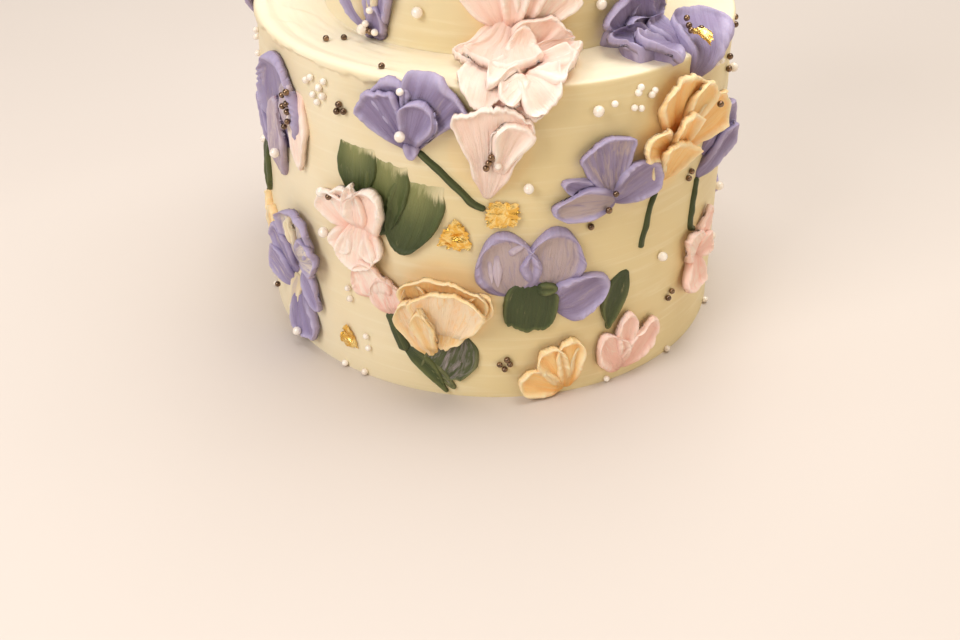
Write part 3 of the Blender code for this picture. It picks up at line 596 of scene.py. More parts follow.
class Form(Enum):
    """Outlines that the knife leaves: neck, widest place, end, drop at the sides, straightness."""

    PAD = (0.42, 0.60, 0.70, 0.26, 0.0)
    ROUND = (0.62, 0.50, 0.80, 0.34, 0.0)
    SHELL = (0.30, 0.80, 0.88, 0.20, 0.4)
    FAN = (0.14, 0.90, 0.96, 0.16, 0.9)
    CUP = (0.26, 0.86, 0.90, 0.24, 0.7)
    TONGUE = (0.55, 0.55, 0.62, 0.18, 0.0)
    BLADE = (0.30, 0.45, 0.22, 0.10, 0.0)
    SMEAR = (0.80, 0.55, 0.66, 0.20, 0.0)
    BLOCK = (0.90, 0.50, 0.88, 0.12, 0.0)

    def width_at(self, share: np.ndarray) -> np.ndarray:
        """Width at a share of the length, next to the widest."""
        neck, widest, end, _, straight = self.value
        grown = np.clip(share / widest, 0.0, 1.0)
        swell = (1.0 - straight) * np.sin(0.5 * math.pi * grown) + straight * grown
        past = np.clip((share - widest) / (1.0 - widest), 0.0, 1.0)
        return np.where(share < widest, neck + (1.0 - neck) * swell, 1.0 - (1.0 - end) * past * past)

    @property
    def neck(self) -> float:
        """Width at the root, next to the widest."""
        return self.value[0]

    @property
    def drop(self) -> float:
        """Share by which the sides stay behind the tip."""
        return self.value[3]


@dataclass(frozen=True)
class Dab:
    """One stroke of the palette knife, from its root to its tip.

    In mm: body is the thickness, lip the height at the rim, lift how far the tip stands off, bow the bend
    to a side, ragged the tearing of the outline, flute the depth of the folds, streak that of the lines
    and rim the rim's width. Curl and roll are the angles through which the tip and a side turn. Deep is
    the share of painted shade in the hollows, and smear that of a second icing.
    """

    root: Place
    tip: Place
    width: float
    form: Form
    body: float = 2.0
    lip: float = 3.0
    lift: float = 0.0
    bow: float = 0.0
    ragged: float = 0.6
    curl: float = 0.0
    roll: float = 0.0
    flute: float = 0.0
    folds: float = 2.0
    streak: float = 0.18
    deep: float = 0.25
    smear: float = 0.0
    rim: float = 1.3
    leaf: bool = False
    tone: Tone | None = None


@dataclass(frozen=True)
class Stalk:
    """A thin piped stem along a path."""

    path: tuple[Place, ...]
    width: float
    height: float


@dataclass
class KnifeBlank:
    """The flat slab of icing from which every stroke is shaped.

    Across and along count its cells. Thinnest, sunk and heap are depths in mm: of a free edge, into the
    cake, and into it under heaped icing. The last three are shares of a stroke: where a curl, a roll and
    the free edge of heaped icing start.
    """

    across: int
    along: int
    thinnest: float = 0.9
    sunk: float = 0.8
    heap: float = 8.0
    curls_from: float = 0.66
    rolls_from: float = 0.45
    freed_from: float = 0.62

    def __post_init__(self) -> None:
        """Model the slab once and read its layout."""
        self.model = slab(self.across, self.along)
        bpy.ops.object.shade_smooth()
        points = read_points(self.model.data)
        self.column = np.rint((points[:, 0] + 1) / 2 * self.across).astype(int)
        self.row = np.rint((points[:, 1] + 1) / 2 * self.along).astype(int)
        self.front = points[:, 2] > -0.5
        even = np.linspace(-1, 1, self.across + 1)
        self.side = (0.6 * even + 0.4 * np.sin(0.5 * math.pi * even))[None, :]
        up = np.linspace(0, 1, self.along + 1)
        self.share = (0.7 * up + 0.3 * np.sin(0.5 * math.pi * up))[:, None]

    def discard(self) -> None:
        """Remove the slab when all strokes are shaped."""
        bpy.data.objects.remove(self.model)

    def formed(self, name: str, front: np.ndarray, back: np.ndarray, stroke: np.ndarray,
               tint: np.ndarray) -> bpy.types.Object:
        """A copy of the slab with its two faces laid out.

        Args:
            name: Name of the copy.
            front: Places of the front face's grid, in mm.
            back: Places of the back face's grid, in mm.
            stroke: Coordinates along the stroke, for the streaks.
            tint: Shares of the painted rim highlight, the painted shade in hollows and a second icing.
        Returns:
            The new object.
        """
        twin = copied(self.model, name)
        points = np.where(self.front[:, None], front[self.row, self.column], back[self.row, self.column])
        write_points(twin.data, points)
        write_attribute(twin.data, "stroke", stroke[self.row, self.column])
        write_attribute(twin.data, "tint", tint[self.row, self.column])
        return twin

    def shaped(self, dab: Dab, seed: int, cake: CakeOutline, heaped: bool = False) -> bpy.types.Object:
        """One stroke laid on the icing.

        Args:
            dab: The stroke.
            seed: Number that picks its irregularities.
            cake: The icing it lies on.
            heaped: True for icing heaped in the corner over the ledge, which is solid to the cake.
        Returns:
            The stroke's object.
        """
        side = self.side
        share = self.share
        middle = 0.5 * (dab.root[1] + dab.tip[1])
        run = (dab.tip[0] - dab.root[0]) * float(cake.radius_at(middle)) / ARC_RADIUS
        rise = dab.tip[1] - dab.root[1]
        length = math.hypot(run, rise)
        run, rise = run / length, rise / length
        gone = share * length
        width = dab.width * dab.form.width_at(share) * (1 + 0.06 * wander(gone, 8.0, seed))
        if not dab.leaf:
            rounded = np.clip(gone / (0.5 * dab.form.neck * dab.width), 0, 1)
            width = width * (0.12 + 0.88 * np.sqrt(1 - (1 - rounded) ** 2))
        half = 0.5 * width * side + dab.bow * 4 * share * (1 - share)
        spread = 0.5 * dab.width * side + 0 * share
        tear = dab.ragged * (0.9 * wander(half, 7.5, seed + 2) + 0.45 * wander(half, 2.3, seed + 3)
                             + 0.3 * wander(half, 0.9, seed + 12))
        along = length * share * (1 - dab.form.drop * np.abs(side) ** 2.2) + tear * share ** 5
        frayed = 0.45 * dab.ragged * (wander(gone, 6.5, seed + 1) + 0.2 * wander(gone, 2.2, seed + 4))
        half = half + frayed * np.abs(side) ** 6 * np.sign(side)
        beside = (1 - np.abs(side)) * 0.5 * width
        beyond = (1 - share) * length
        edge = np.minimum(beside, beyond)
        grown = smooth((share - 0.08) / 0.4)
        ridge = np.exp(-((edge - 0.9 * dab.rim) / dab.rim) ** 2) * grown
        ridge = ridge * (1 + 0.3 * wander(half + 3 * gone, 5.0, seed + 5))
        lines = (0.62 * wander(spread + 0.8 * wander(gone, 10.0, seed + 6), 1.9, seed + 7)
                 + 0.38 * wander(spread + 0.3 * wander(gone, 6.0, seed + 8), 0.85, seed + 9))
        lumps = wander_over(half / 4.5, along / 6.0, seed + 10)
        pleat = np.sin(math.pi * dab.folds * side + 0.7 * wander(gone, 9.0, seed + 11) + seed % 7)
        height = (dab.body * (0.3 + 0.7 * smooth(share / 0.28)) + (dab.lip - dab.body) * ridge
                  + dab.lift * share ** 1.7 + dab.flute * pleat * share ** 1.2
                  + 1.35 * dab.streak * lines * (1 - 0.6 * ridge) * smooth(share / 0.15) + 0.22 * lumps)
        height = height + 0.35 * dab.lift * side ** 2 * share
        if dab.leaf:
            height = height * smooth(share / 0.6) - 0.3 * (1 - smooth(share / 0.12))
        thick = np.minimum(self.thinnest + 0.45 * dab.body * (1 - 0.5 * share)
                           + 0.6 * np.maximum(dab.lip - dab.body, 0) * ridge, height + self.sunk)
        corner = np.maximum(0.5 * thick, 0.3)
        inside = np.clip(1 - edge / corner, 0.0, 1.0)
        eased = corner * (1 - np.sqrt(np.maximum(1 - inside ** 2, 0.0)))
        lean = np.zeros_like(half + along)
        tilt = np.zeros_like(lean)
        if dab.curl:
            start = self.curls_from
            lean = dab.curl * np.clip((share - start) / (1 - start), 0, 1) + 0 * side
            base = length * start * (1 - dab.form.drop * np.abs(side) ** 2.2)
            risen, reach = rolled_edge(along - base, lean)
            height = height + risen
            along = base + reach
        if dab.roll:
            sign = math.copysign(1.0, dab.roll)
            start = self.rolls_from
            turned = abs(dab.roll) * np.clip((side * sign - start) / (1 - start), 0, 1) * grown
            base = 0.5 * width * start * sign + dab.bow * 4 * share * (1 - share)
            risen, reach = rolled_edge((half - base) * sign, turned)
            height = height + risen
            half = base + sign * reach
            tilt = turned * sign
        face = height - eased
        under = thick - 2 * eased * (thick > 2 * eased)
        upright = np.cos(lean) * np.cos(tilt)
        low = face - np.maximum(under, 0.12) * upright
        free = smooth((low - 0.1) / 0.7) if dab.lift or dab.curl or dab.roll else 0 * low
        if heaped:
            free = free * smooth((share - self.freed_from) / 0.2)
        sunk = self.heap if heaped else self.sunk
        low = np.where(free > 0, low * free - sunk * (1 - free), -sunk)
        low_along = along + free * under * np.sin(lean)
        low_half = half + free * under * np.sin(tilt)
        front = self.laid(dab, run, rise, along, half, face, cake)
        back = self.laid(dab, run, rise, low_along, low_half, low, cake)
        mark = (seed * 0.731) % 97
        stroke = np.stack(np.broadcast_arrays(spread, gone + 0 * side, mark + 0 * half), axis=-1)
        # painted shade: hollows near the root, in fold valleys and in streak valleys
        hollow_shade_and_leaf_tip = dab.deep * (1 - smooth(share / 0.75)) + 0.5 * min(dab.flute, 1.5) * np.clip(-pleat, 0, 1)
        hollow_shade_and_leaf_tip = hollow_shade_and_leaf_tip + 0.35 * dab.deep * np.clip(-lines, 0, 1)
        # on leaves the same channels are tone: a paler middle near the root and a darker tip
        if dab.leaf:
            rim_highlight_and_leaf_tone = np.exp(-((side - 0.1) / 0.8) ** 2) * (1 - smooth((share - 0.12) / 0.6))
            dragged = 1.5 * (1 - smooth((share + 0.03 * lines + 0.06 * side) / 0.34))
            hollow_shade_and_leaf_tip = 0.5 * smooth((share - 0.6) / 0.4) + 0 * side
        else:
            # painted highlight: the raised rim is made paler
            rim_highlight_and_leaf_tone = np.clip(ridge * 0.8, 0, 1)
            dragged = dab.smear * smooth((edge - dab.rim) / (1.4 * dab.rim))
        dragged = np.maximum(dragged, dab.smear * 0.9) if dab.leaf and dab.smear else dragged
        tint = np.stack(np.broadcast_arrays(rim_highlight_and_leaf_tone, np.clip(hollow_shade_and_leaf_tip, 0, 1), dragged), axis=-1)
        return self.formed("dab", front, back, stroke, tint)

    def laid(self, dab: Dab, run: float, rise: float, along: np.ndarray, half: np.ndarray,
             out: np.ndarray, cake: CakeOutline) -> np.ndarray:
        """Places in space of a stroke's own coordinates.

        Args:
            dab: The stroke.
            run: Share of its direction that goes round the cake.
            rise: Share of its direction that climbs.
            along: Distances from the root.
            half: Distances to the right of its middle line.
            out: Distances off the icing.
            cake: The icing it lies on.
        Returns:
            The places in mm.
        """
        across = run * along + rise * half
        climb = dab.root[1] + rise * along - run * half
        return cake.point(np.full_like(climb, dab.root[0]), climb, out, across)

    def piped(self, stalk: Stalk, seed: int, cake: CakeOutline) -> bpy.types.Object:
        """A stem laid on the icing.

        Args:
            stalk: The stem.
            seed: Number that picks its irregularities.
            cake: The icing it lies on.
        Returns:
            The stem's object.
        """
        path = np.array(stalk.path, dtype=float)
        steps = np.hypot(*np.diff(path, axis=0).T)
        gone = np.concatenate(((0.0,), np.cumsum(steps)))
        share = np.linspace(0, 1, self.along + 1)
        stations = np.linspace(-gone[-1], 2 * gone[-1], 3 * self.along)
        weights = np.exp(-0.5 * ((share[:, None] * gone[-1] - stations[None, :]) / 1.6) ** 2)
        weights = weights / weights.sum(axis=1, keepdims=True)
        line = np.empty((self.along + 1, 2))
        for column in (0, 1):
            line_in, line_out = path[:2, column], path[-2:, column]
            first = line_in[0] + (line_in[1] - line_in[0]) / steps[0] * stations
            last = line_out[1] + (line_out[1] - line_out[0]) / steps[-1] * (stations - gone[-1])
            inner = np.interp(stations, gone, path[:, column])
            raw = np.where(stations < 0, first, np.where(stations > gone[-1], last, inner))
            line[:, column] = weights @ raw
        pace = np.gradient(line, axis=0)
        pace = pace / np.hypot(pace[:, 0], pace[:, 1])[:, None]
        side = self.side
        mm = share[:, None] * gone[-1]
        ends = np.sqrt(np.clip(np.minimum(share, 1 - share)[:, None] * gone[-1] / (0.4 * stalk.width), 0, 1))
        wide = 0.5 * stalk.width * ends * (1 + 0.16 * wander(mm, 5.0, seed))
        half = wide * side
        tall = stalk.height * ends * (1 + 0.18 * wander(mm, 4.0, seed + 1))
        out = tall * np.sqrt(np.clip(1 - side ** 2, 0, 1)) + 0.1 * wander(half, 0.7, seed + 2) * ends
        climb = line[:, 1][:, None] - pace[:, 0][:, None] * half
        arc = line[:, 0][:, None] + 0 * half
        across = pace[:, 1][:, None] * half
        front = cake.point(arc, climb, out, across)
        back = cake.point(arc, climb, 0 * out - self.sunk, across)
        stroke = np.stack(np.broadcast_arrays(half, mm + 0 * side, 0 * half + seed % 97), axis=-1)
        shine = np.broadcast_arrays(0.35 * np.exp(-((side + 0.2) / 0.3) ** 2), 0.2 + 0 * half, 0 * half)
        return self.formed("stalk", front, back, stroke, np.stack(shine, axis=-1))


@dataclass(frozen=True)
class Bloom:
    """One flower, leaf or stem that stands for a node of the frame."""

    node: str
    tone: Tone
    strokes: tuple[Dab | Stalk, ...]
    anchor: Place = (0.0, 0.0)
    pearls: tuple[Place, ...] = ()
    seeds: tuple[Place, ...] = ()
    darks: tuple[tuple[float, float, float], ...] = ()
    draped: bool = False

    def turned(self, node: str, place: Place, flip: float, cake: CakeOutline) -> "Bloom":
        """The same flower elsewhere, with other irregularities.

        Args:
            node: The frame's node that the copy stands for.
            place: Where its anchor goes.
            flip: -1 to mirror it.
            cake: The icing it lies on.
        Returns:
            The moved flower.
        """
        stretch = flip * float(cake.radius_at(self.anchor[1]) / cake.radius_at(place[1]))

        def moved(point: tuple[float, ...]) -> tuple[float, ...]:
            """One place moved with the flower."""
            return (place[0] + stretch * (point[0] - self.anchor[0]),
                    place[1] + point[1] - self.anchor[1]) + tuple(point[2:])

        strokes = []
        for stroke in self.strokes:
            if isinstance(stroke, Stalk):
                strokes.append(replace(stroke, path=tuple(moved(point) for point in stroke.path)))
            else:
                strokes.append(replace(stroke, root=moved(stroke.root), tip=moved(stroke.tip),
                                       bow=flip * stroke.bow, roll=flip * stroke.roll))
        return Bloom(node, self.tone, tuple(strokes), place, tuple(map(moved, self.pearls)),
                     tuple(map(moved, self.seeds)), tuple(map(moved, self.darks)))


PAD, ROUND, SHELL, FAN, CUP, TONGUE, BLADE, SMEAR, BLOCK = Form

# Flowers, leaves and stems of the front, each with its strokes from the lowest to the topmost

TULIP = Bloom("lilac_tulip_left", Tone.LILAC, (
    Dab((-108, 97), (-111, 139), 38, PAD, 1.3, 4.2, 1.0, rim=2.4, smear=0.3, deep=0.4, ragged=0.3),
    Dab((-122, 88), (-133, 114), 11, TONGUE, 2.4, 3.6, 1.2, ragged=0.8),
    Dab((-101, 106), (-98, 131), 11, TONGUE, 2.8, 3.6, 0.8, tone=Tone.MAUVE, smear=0.7, ragged=1.6,
        streak=0.3),
    Dab((-95.5, 127), (-92, 95), 12, SMEAR, 2.4, 3.0, 0.8, ragged=2.2, tone=Tone.PINK, streak=0.4,
        smear=0.4),
    Dab((-115, 81), (-109, 120), 15, TONGUE, 3.2, 3.9, 1.0, ragged=2.0, tone=Tone.MAUVE, smear=0.5,
        streak=0.4),
), anchor=(-108.6, 106.0), pearls=((-107.8, 95.4, 4.0),), darks=((-95.1, 127.7, 4), (-98.4, 125.4, 4),
    (-95.3, 122.6, 4), (-98.6, 120.4, 4), (-95.3, 119.0, 4), (-95.6, 114.6, 4), (-98.6, 111.2, 4)))

PAIR = Bloom("lilac_pair_rim", Tone.LILAC, (
    Dab((-36, 120), (-43, 145), 18, FAN, 1.8, 2.8, 1.5, streak=0.1, deep=0.1),
    Dab((-34, 117), (-50, 140), 21, FAN, 2.8, 4.4, 2.0, ragged=1.5, streak=0.45, folds=2.5, flute=0.3,
        deep=0.4),
    Dab((-33, 117), (-20, 146), 26, FAN, 2.0, 3.4, 1.6, bow=-1.5, streak=0.3, smear=0.15, ragged=0.4),
    Dab((-34.5, 118), (-27, 140), 15.5, CUP, 3.8, 5.6, 2.5, roll=1.0, streak=0.1, ragged=0.5),
    Dab((-33.5, 122), (-33, 114), 6, TONGUE, 3.0, 3.4, ragged=0.8),
), anchor=(-34.25, 118.25), pearls=((-35.5, 125.8, 5.6),), seeds=((-36, 143, 4.0),))

PAIR_STEM = Bloom("lilac_pair_stem", Tone.LEAF, (
    Stalk(((-31, 117.5), (-26.5, 113.5), (-21.5, 109.5), (-17, 105), (-12, 100.5), (-9, 96.5), (-3, 94)),
          2.9, 1.9),
), anchor=(-30.0, 117.0))

TRUMPET = Bloom("pink_trumpet_rim", Tone.PINK, (
    Dab((-2.6, 99.0), (-0.5, 139.5), 31, FAN, 3.0, 4.6, 2.8, ragged=2.2, streak=0.26, deep=0.0, rim=1.0,
        flute=0.3, folds=1.3, bow=1.0),
    Dab((1, 107), (9.5, 134), 14, FAN, 4.0, 5.4, 3.4, roll=-0.9, streak=0.28, deep=0.2, bow=-0.8,
        ragged=1.0),
), anchor=(-1.5, 106.5), seeds=((1.6, 116.0, 4.6),), darks=((-1.0, 119.8, 5.0), (-2.0, 117.2, 4.6),
    (-2.9, 114.8, 4.2)))

FALL = Bloom("pink_fall_ledge", Tone.PINK, (
    Dab((4, 191), (-16, 160), 19, SHELL, 2.6, 3.8, 1.8, ragged=1.8, streak=0.32, deep=0.1),
    Dab((2, 178), (-8, 138), 21, SHELL, 3.0, 3.8, 1.6, ragged=1.8, streak=0.32, deep=0.1),
    Dab((6, 154), (5, 133), 22, PAD, 3.4, 4.0, tone=Tone.ROSE, deep=1.0),
    Dab((10, 193), (1, 150), 31, SHELL, 4.4, 5.8, 3.0, ragged=1.4, streak=0.34, deep=0.08, bow=1.0,
        rim=1.2),
    Dab((16, 166), (-4, 145), 11, PAD, 5.0, 6.4, 2.4, ragged=1.0, streak=0.32, deep=0.1, roll=-0.5),
    Dab((16, 150), (1, 142), 9, SHELL, 3.8, 4.8, 2.6, roll=-0.8, deep=0.6, streak=0.2),
), anchor=(2.5, 157.5), draped=True)

BURST = Bloom("pink_burst_ledge", Tone.PINK, (
    Dab((9, 149), (14, 132), 16, SHELL, 2.6, 3.6, 2.0, ragged=1.4, deep=0.5, streak=0.3),
    Dab((13, 166), (32, 192), 26, SHELL, 2.8, 4.0, 3.0, ragged=1.4, deep=0.45, flute=0.6, streak=0.3,
        rim=1.0),
    Dab((13, 162), (40, 172), 25, SHELL, 3.4, 4.6, 4.0, ragged=1.4, deep=0.45, flute=0.6, streak=0.3,
        rim=1.0),
    Dab((11, 158), (35, 154), 22, SHELL, 3.6, 5.0, 4.0, ragged=1.4, deep=0.5, streak=0.3, flute=0.5,
        rim=1.0),
    Dab((9, 153), (23, 141), 18, SHELL, 3.4, 5.0, 3.6, ragged=1.2, deep=0.55, streak=0.3, flute=0.4,
        rim=1.0),
    Dab((12, 160), (15, 191), 12, TONGUE, 4.6, 5.6, 2.0, ragged=1.0, deep=0.15, streak=0.34),
), anchor=(12.0, 147.5), draped=True)

CREST = Bloom("pink_crest_upper", Tone.PINK, (
    Dab((7, 203), (4, 234), 26, SHELL, 3.0, 4.4, 3.0, ragged=1.4, streak=0.3),
    Dab((5, 188), (-7, 212), 23, SHELL, 2.6, 3.8, 2.4, bow=-1, ragged=1.2, deep=0.35, streak=0.3),
    Dab((17, 188), (38, 208), 25, SHELL, 2.4, 3.6, 2.4, ragged=1.2, deep=0.3, smear=0.6, streak=0.25),
    Dab((15, 188), (20, 212), 13, SHELL, 3.4, 4.6, 2.4, ragged=1.0, deep=0.7, streak=0.25),
    Dab((9, 186), (11, 214), 12, SHELL, 4.0, 5.4, 2.4, ragged=1.0, deep=0.5, streak=0.35),
), anchor=(10.0, 194.0), darks=((8, 206, 6.5), (12, 208, 6.5)), draped=True)

RUFFLE = Bloom("lilac_ruffle_ledge", Tone.LILAC, (
    Dab((93, 158), (98, 196), 24, SHELL, 2.6, 4.0, 2.4, deep=0.4, streak=0.35, ragged=1.0, flute=0.4),
    Dab((88, 158), (75, 196), 27, SHELL, 3.0, 4.6, 3.6, bow=1.5, streak=0.35, deep=0.5, flute=0.5),
    Dab((90, 157), (61, 170), 25, SHELL, 3.0, 4.6, 4.0, bow=-1.5, streak=0.35, deep=0.5, flute=0.4),
    Dab((91, 158), (79, 187), 13, SHELL, 4.8, 6.4, 4.0, deep=0.5, streak=0.3, roll=-0.9, bow=2),
    Dab((92, 154), (68, 153), 17, SHELL, 4.6, 6.2, 4.2, bow=-1.0, streak=0.3, deep=0.4, roll=0.6),
    Dab((94, 150), (94, 181), 12, TONGUE, 5.4, 6.8, 3.0, streak=0.3, deep=0.5),
    Dab((93, 135), (119, 162), 27, CUP, 3.0, 5.0, 4.4, bow=-2, streak=0.3, ragged=0.8, rim=1.7),
), anchor=(90.75, 147.25), darks=((105.5, 157, 7.6), (99.5, 153, 7.0), (100.5, 148, 6.6),
    (96.0, 150, 6.6)), draped=True)

PEACH_RUFFLE = Bloom("peach_ruffle_right", Tone.PEACH, (
    Dab((83, 114), (81, 140), 25, SHELL, 2.0, 3.0, 4.0, ragged=1.2, deep=0.55, flute=0.6, folds=2.4),
    Dab((87, 108), (114, 121), 24, SHELL, 2.8, 4.0, 4.6, bow=-1.5, ragged=1.2, deep=0.3, flute=0.5),
    Dab((86, 113), (96, 136), 14, SHELL, 4.0, 4.8, 4.0, roll=0.8, ragged=1.0, deep=0.6),
    Dab((80, 106), (63, 118), 16, SHELL, 2.4, 3.4, 4.0, bow=1, ragged=1.0, deep=0.9, curl=0.4),
    Dab((84, 106), (84, 124), 15, SHELL, 4.0, 5.0, 4.4, ragged=1.0, deep=0.8, flute=0.5),
    Dab((77, 94), (83, 112.5), 23, FAN, 2.2, 3.8, 5.0, ragged=1.0, deep=0.2, streak=0.24),
    Dab((76, 95), (69, 107), 9, TONGUE, 2.4, 3.0, 2.0, deep=0.3),
), anchor=(81.6, 106.4), darks=((101.9, 123.4, 8.2),))

BEHIND = Bloom("lilac_behind_peach", Tone.LILAC, (
    Dab((109, 95), (133, 111), 20, SHELL, 2.0, 3.4, 3.2, bow=-1, streak=0.25),
    Dab((105, 86), (134, 101), 15, SHELL, 2.4, 3.6, 3.4, streak=0.25, curl=0.4),
), anchor=(115.5, 92.0))

BEHIND_STEM = Bloom("lilac_behind_stem", Tone.LEAF, (
    Stalk(((105.5, 86), (103.6, 76), (103, 68), (103, 61.5), (108, 59)), 3.0, 1.9),
), anchor=(105.5, 84.5))

THREE = Bloom("lilac_three_petal", Tone.LILAC, (
    Dab((46, 97), (28, 104.5), 10, PAD, 1.5, 2.6),
    Dab((50.5, 94), (45, 122.5), 26, FAN, 2.2, 3.4, 2.2, streak=0.42, smear=0.55, rim=0.9),
    Dab((51, 93), (71, 104.5), 21, SHELL, 2.4, 3.8, 2.4, bow=-1, streak=0.3, smear=0.35, ragged=1.4),
    Dab((53, 92.5), (23.5, 94), 15.5, PAD, 2.8, 4.4, 1.2, bow=1.5, smear=0.95, streak=0.3, ragged=0.5),
), anchor=(50.5, 95.0), darks=((49.8, 98.2, 4), (47.4, 91.0, 3.4)))

THREE_STEM = Bloom("lilac_three_stem", Tone.LEAF, (
    Stalk(((74.5, 91), (72.3, 86), (71, 80), (70.5, 75), (68.7, 70), (68.5, 65)), 2.6, 1.7),
), anchor=(74.5, 90.5))

LEAF_LEFT = Bloom("leaf_large_left", Tone.OLIVE, (
    Dab((-59, 118), (-60, 90), 19, SMEAR, 1.2, 2.0, leaf=True, ragged=1.0),
), anchor=(-59.0, 115.0))
LEAF_MIDDLE = Bloom("leaf_large_middle", Tone.OLIVE, (
    Dab((-43, 115), (-48, 77), 19, SMEAR, 1.3, 2.2, leaf=True, ragged=0.8),
), anchor=(-44.0, 112.0))
LEAF_RIGHT = Bloom("leaf_large_right", Tone.OLIVE, (
    Dab((-29, 108), (-40, 70), 24, SMEAR, 1.4, 2.6, leaf=True, bow=-1, ragged=0.8),
), anchor=(-31.0, 104.0))

PINK_RUFFLE = Bloom("pink_ruffle_left", Tone.PINK, (
    Dab((-62, 74), (-75, 91), 18, SHELL, 1.8, 3.2, 3.4, ragged=1.0, deep=0.75, streak=0.26),
    Dab((-60, 76), (-66, 96), 14, SHELL, 2.4, 3.4, 2.8, ragged=1.0, deep=1.0, streak=0.26),
    Dab((-55, 73), (-49, 99), 18, PAD, 3.0, 5.4, 3.0, bow=-2.5, deep=0.35, roll=-0.8, streak=0.3,
        rim=2.0),
    Dab((-60, 75), (-58.5, 100), 12, BLADE, 4.0, 5.2, 3.0, deep=0.6, smear=0.5, streak=0.35),
    Dab((-64, 77), (-70, 63), 12, SHELL, 2.6, 4.0, 1.2, ragged=1.0, deep=0.6, streak=0.35),
    Dab((-59, 80), (-60, 57), 20, SHELL, 3.2, 5.0, 1.2, ragged=1.4, streak=0.55, deep=0.3, smear=0.6),
    Dab((-53, 79), (-51.5, 63), 11, SHELL, 3.0, 4.4, 1.4, ragged=1.0, deep=0.5, streak=0.4),
), anchor=(-61.4, 73.2), pearls=((-75.6, 89.9, 3.4), (-76.4, 70.0, 2.6)), darks=((-70.2, 90.0, 5.4),))

PINK_PAIR = Bloom("pink_pair_left", Tone.ROSE, (
    Dab((-42.5, 37.5), (-48, 57), 17, PAD, 2.4, 3.6, 1.2, ragged=0.8, smear=0.6, streak=0.34, deep=0.35),
    Dab((-50, 44), (-56.5, 63.5), 19, ROUND, 3.2, 4.4, 1.8, ragged=0.8, smear=0.8, streak=0.34, deep=0.1),
), anchor=(-45.0, 40.5))

PEACH_CUP = Bloom("peach_cup_front", Tone.PEACH, (
    Dab((-20.5, 33), (-19.5, 64), 38, SHELL, 2.0, 2.8, 6.5, ragged=1.4, deep=1.0, rim=0.9),
    Dab((-11, 36), (-3, 57.5), 14, SHELL, 2.4, 3.2, 5.2, roll=-0.8, ragged=0.8, deep=0.9),
    Dab((-27.5, 31), (-32, 60), 13, SHELL, 2.4, 3.0, 5.2, ragged=1.0, deep=0.9),
    Dab((-20, 29), (-16, 60.5), 31, SHELL, 4.2, 5.2, 8.2, ragged=1.2, deep=0.05, smear=0.85, rim=0.8,
        roll=-0.4, streak=0.28, flute=0.3),
    Dab((-26.5, 19.5), (-34, 52), 15, SHELL, 4.0, 5.0, 6.0, ragged=1.2, deep=0.1, smear=0.85, roll=0.9,
        streak=0.28),
    Dab((-24.5, 22), (-28.5, 49), 9, SHELL, 5.6, 6.6, 6.0, ragged=1.0, deep=0.2, smear=0.4, streak=0.28),
    Dab((-19, 40), (-21, 27), 16, SMEAR, 3.4, 3.8, ragged=2.2, smear=0.5, streak=0.3),
), anchor=(-24.0, 28.0))

STRIP = Bloom("leaf_strip_front", Tone.LEAF, (
    Stalk(((-45.5, 39), (-43.5, 33), (-41.5, 28), (-40, 24.5), (-38, 20)), 5.4, 1.9),
), anchor=(-45.0, 38.0))
LEAF_LOW = Bloom("leaf_low_front", Tone.LEAF, (
    Dab((-39, 22), (-19, 2.5), 8.5, BLADE, 1.6, 2.4, bow=-2.5, ragged=0.8),
), anchor=(-39.0, 22.0))
LEAF_GREY = Bloom("leaf_grey_front", Tone.GREY, (
    Dab((-14, 34), (-23, 9), 22, BLOCK, 1.2, 1.8, bow=-1.5, smear=0.45, ragged=1.6, streak=0.2, rim=0.8),
    Dab((-29, 19), (-15, 4), 5, TONGUE, 1.0, 1.5, smear=1.0),
), anchor=(-13.0, 37.0))

LILAC_CREAM = Bloom("lilac_cream_left", Tone.LILAC_WHITE, (
    Dab((-104, 34), (-112, 6), 10, TONGUE, 1.8, 2.4, ragged=1.2, tone=Tone.CREAM, smear=0.9),
    Dab((-106, 34), (-119, 55), 18, SHELL, 2.2, 3.4, 2.8, ragged=1.2, streak=0.3, smear=0.3),
    Dab((-107, 27), (-128, 37), 20, SHELL, 2.4, 3.4, 2.8, ragged=1.2, streak=0.3, smear=0.3),
    Dab((-100, 40), (-97, 71), 28, SHELL, 2.2, 4.0, 3.0, bow=-1.5, ragged=1.2, smear=0.85, rim=1.8,
        flute=0.6, folds=3.0, streak=0.3),
    Dab((-101, 46), (-80, 56), 18, SHELL, 4.0, 5.2, 3.4, ragged=1.2, smear=0.8, flute=0.7, streak=0.35),
    Dab((-101, 49), (-101, 66), 7, TONGUE, 4.2, 5.2, 1.6, ragged=1.4, tone=Tone.CREAM, smear=0.4,
        streak=0.4),
    Dab((-98, 42), (-84, 25), 12, PAD, 2.6, 3.4, 1.2, streak=0.2, deep=0.1),
    Dab((-103, 27), (-96, 3.5), 23, SHELL, 2.2, 3.4, 1.2, ragged=0.9, streak=0.5, flute=0.3),
), anchor=(-104.0, 37.17), pearls=((-99.6, 7.0, 3.8),), darks=((-123, 19, 3.0),))

TRIO = Bloom("lilac_trio_front", Tone.LILAC, (
    Dab((9, 53.5), (3, 84), 27, ROUND, 1.4, 4.0, rim=2.1, smear=1.0, ragged=0.3, streak=0.24),
    Dab((25, 56), (27, 85), 28, ROUND, 1.6, 4.2, rim=2.1, smear=0.95, ragged=0.3, streak=0.24),
    Dab((27, 45.5), (51, 57), 22, ROUND, 1.9, 4.0, rim=1.9, smear=0.25, ragged=0.3, streak=0.2),
    Dab((5.5, 73), (14, 79.5), 3, TONGUE, 2.0, 2.6, ragged=0.8, tone=Tone.MAUVE, smear=0.8),
    Dab((1.5, 77), (2.5, 58), 3.6, TONGUE, 1.7, 2.2, ragged=1.4, tone=Tone.MAUVE, smear=0.9),
    Dab((-1.5, 74), (0, 60), 2.6, TONGUE, 1.6, 2.0, ragged=1.4, tone=Tone.MAUVE, smear=0.7),
), anchor=(20.67, 52.33))

